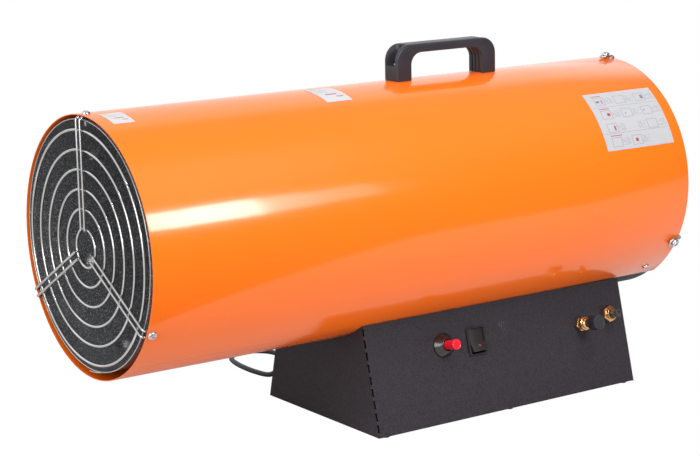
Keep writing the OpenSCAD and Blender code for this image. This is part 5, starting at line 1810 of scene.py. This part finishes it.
@dataclass(frozen=True)
class Lamp:
    """A soft rectangular lamp: where it hangs, what it faces, its size and its power in watts.

    Attributes:
        mirrored: Whether glossy surfaces show it.
    """

    name: str
    spot: Point3
    aim: Point3
    size: Point2
    watts: float
    mirrored: bool = True

    def hang(self) -> None:
        """Hangs the lamp in the scene."""
        data = bpy.data.lights.new(self.name, "AREA")
        data.shape, data.size, data.size_y, data.energy = "RECTANGLE", *self.size, self.watts
        lamp = bpy.data.objects.new(self.name, data)
        facing = (Vector(self.spot) - Vector(self.aim)).to_track_quat("Z", "Y")
        lamp.matrix_world = moved(*self.spot) @ facing.to_matrix().to_4x4()
        lamp.visible_glossy = self.mirrored
        bpy.context.scene.collection.objects.link(lamp)


@dataclass
class Studio:
    """The camera, the white floor and the lights.

    Attributes:
        table_front: How far the table's front edge lies from the origin.
        table_corner: A point of the cut across the table's front corner.
        corner_facing: The way that this cut faces.
        room_reflected: What glossy surfaces see low and high in the room.
        screens: White screens that glossy surfaces see: an axis, where the screen fades in, and its strength.
    """

    azimuth: float = -34.76
    elevation: float = 11.323
    roll: float = -1.164
    distance: float = 2.2421
    target: Point3 = (0, 0.04085, 0.19735)
    lens: float = 103.08
    table: tuple[float, float] = (8, 7)
    table_turn: float = -12.5
    table_front: float = 0.69
    table_corner: Point3 = (0.32, -0.779, 0)
    corner_facing: Point3 = (-0.663, -0.749, 0)
    table_tone: float = 0.6
    room_light: float = 0.6
    room_reflected: tuple[float, float] = (0.06, 0.42)
    screens: tuple[tuple[str, float, float, float], ...] = (
        ("Y", 0.25, 0.55, 1.1), ("X", -0.25, -0.6, 0.85))
    lamps: tuple[Lamp, ...] = (
        Lamp("overhead", (-0.1, -1.1, 2.0), (0, 0, 0.2), (1.6, 1.2), 40, mirrored=False),
        Lamp("streak", (0.02, -1.75, 1.05), (-0.3, 0, 0.25), (0.42, 0.46), 15),
        Lamp("streak_middle", (0.33, -1.75, 1.07), (-0.3, 0, 0.25), (0.2, 0.42), 1.4),
        Lamp("streak_end", (0.56, -1.75, 1.09), (-0.2, 0, 0.25), (0.26, 0.36), 1.1),
        Lamp("mouth", (-2.1, -0.7, 0.75), (-0.35, 0, 0.22), (1.1, 1.1), 16),
        Lamp("spark_side", (-0.95, -1.8, 0.8), (-0.35, 0, 0.2), (0.1, 0.1), 1.4),
        Lamp("spark_top", (-1.1, -0.6, 1.7), (-0.35, 0, 0.2), (0.1, 0.1), 1.4),
    )

    def build(self) -> None:
        """Sets up the camera, then the light, then the floor."""
        bpy.context.scene.view_settings.view_transform = "Standard"
        self.camera()
        self.world()
        for lamp in self.lamps:
            lamp.hang()
        self.floor()

    def camera(self) -> None:
        """Places the camera that the photograph was taken from."""
        a, e, r = (math.radians(v) for v in (self.azimuth, self.elevation, self.roll))
        back = Vector((math.sin(a) * math.cos(e), -math.cos(a) * math.cos(e), math.sin(e)))
        right = Vector((0, 0, 1)).cross(back).normalized()
        up = back.cross(right)
        columns = (math.cos(r) * right + math.sin(r) * up, math.cos(r) * up - math.sin(r) * right, back)
        lens = bpy.data.cameras.new("camera")
        lens.lens = self.lens
        lens.clip_end = 50
        camera = bpy.data.objects.new("camera", lens)
        camera.matrix_world = moved(*(Vector(self.target) + back * self.distance)) \
            @ Matrix(columns).transposed().to_4x4()
        bpy.context.scene.collection.objects.link(camera)
        bpy.context.scene.camera = camera

    def world(self) -> None:
        """Surrounds the heater with white for the camera and a dim room, lighter above, for the rest."""
        world = bpy.data.worlds.new("surround")
        world.use_nodes = True
        nodes, links = world.node_tree.nodes, world.node_tree.links

        def graded(source: Socket, start: float, end: float, low: float,
                   high: object) -> Socket:
            """Returns a smooth climb from one level to another as the source goes from start to end.

            Args:
                source: The value that it follows.
                start: Where the climb starts.
                end: Where it ends.
                low: The first level.
                high: The last level, or its socket.

            Returns:
                The level.
            """
            node = nodes.new("ShaderNodeMapRange")
            node.interpolation_type = "SMOOTHSTEP"
            for name, value in (("From Min", start), ("From Max", end), ("To Min", low), ("To Max", high)):
                if isinstance(value, Socket):
                    links.new(value, node.inputs[name])
                else:
                    node.inputs[name].default_value = value
            links.new(source, node.inputs["Value"])
            return node.outputs["Result"]

        path, facing = nodes.new("ShaderNodeLightPath"), nodes.new("ShaderNodeTexCoord")
        height = nodes.new("ShaderNodeSeparateXYZ")
        links.new(facing.outputs["Generated"], height.inputs[0])
        room = graded(height.outputs["Z"], 0.3, 0.75, *self.room_reflected)
        for axis, start, end, level in self.screens:
            side = graded(height.outputs[axis], start, end, 0, level)
            brighter = nodes.new("ShaderNodeMath")
            brighter.operation = "MAXIMUM"
            links.new(room, brighter.inputs[0])
            links.new(side, brighter.inputs[1])
            room = brighter.outputs[0]
        level = graded(path.outputs["Is Glossy Ray"], 0, 1, self.room_light, room)
        white = nodes.new("ShaderNodeMath")
        white.operation = "MAXIMUM"
        links.new(path.outputs["Is Camera Ray"], white.inputs[0])
        links.new(level, white.inputs[1])
        light = nodes["Background"]
        light.inputs["Color"].default_value = (1, 1, 1, 1)
        links.new(white.outputs[0], light.inputs["Strength"])
        bpy.context.scene.world = world

    def floor(self) -> None:
        """Lays the white table top, with the front edge and the cut corner that the paint mirrors."""
        part = bmesh.new()
        bmesh.ops.create_grid(part, x_segments=4, y_segments=4, size=0.5)
        bmesh.ops.scale(part, vec=(*self.table, 1), verts=part.verts)
        middle = moved(self.target[0], self.table[1] / 2 - self.table_front)
        moved_mesh(part, middle, turned(self.table_turn, "Z"))
        bmesh.ops.bisect_plane(part, geom=part.verts[:] + part.edges[:] + part.faces[:],
                               plane_co=self.table_corner, plane_no=self.corner_facing, clear_outer=True)
        mesh = bpy.data.meshes.new("floor")
        part.to_mesh(mesh)
        part.free()
        shader = Shader("white_floor")
        shader.set(Base_Color=(self.table_tone,) * 3, Roughness=0.9, Specular_IOR_Level=0)
        shader.set(Emission_Color=(1, 1, 1))
        path = shader.node("ShaderNodeLightPath", {})
        shade = shader.mix(path.outputs["Is Camera Ray"], (self.table_tone,) * 3, (0.0, 0.0, 0.0))
        shader.feed("Base Color", shade)
        shader.feed("Emission Strength", path.outputs["Is Camera Ray"])
        mesh.materials.append(shader.material)
        floor = bpy.data.objects.new("floor", mesh)
        bpy.context.scene.collection.objects.link(floor)


FINISHES = {finish.name: finish for finish in (
    ORANGE, DARK, CHAMBER_STEEL, WIRE, ZINC, BLACK, PLAIN_LABEL, MOTOR, FAN, PLAIN_STEEL, BURNER_STEEL,
    COPPER, BRASS, RUBBER, CERAMIC, CASE_METAL, GLOSS_BLACK, RED, DARK_METAL, IVORY)}


def dress_frame() -> None:
    """Gives every piece of the frame its finish, by the record's material slot."""
    for entry in frame["record"]["subparts"]:
        for slot in frame["nodes"][entry["node"]].material_slots:
            slot.material = FINISHES[entry["material_slot"]].material()


def main() -> None:
    """Builds the whole scene."""
    logging.basicConfig(level=logging.INFO, format="%(message)s")
    Studio().build()
    Lead().build()
    dress_frame()
    Casing().build()
    Chamber().build()
    for end in End:
        Guard(end).build()
    Base().build()
    Handle().build()
    Controls().build()


if __name__ == "__main__":
    main()
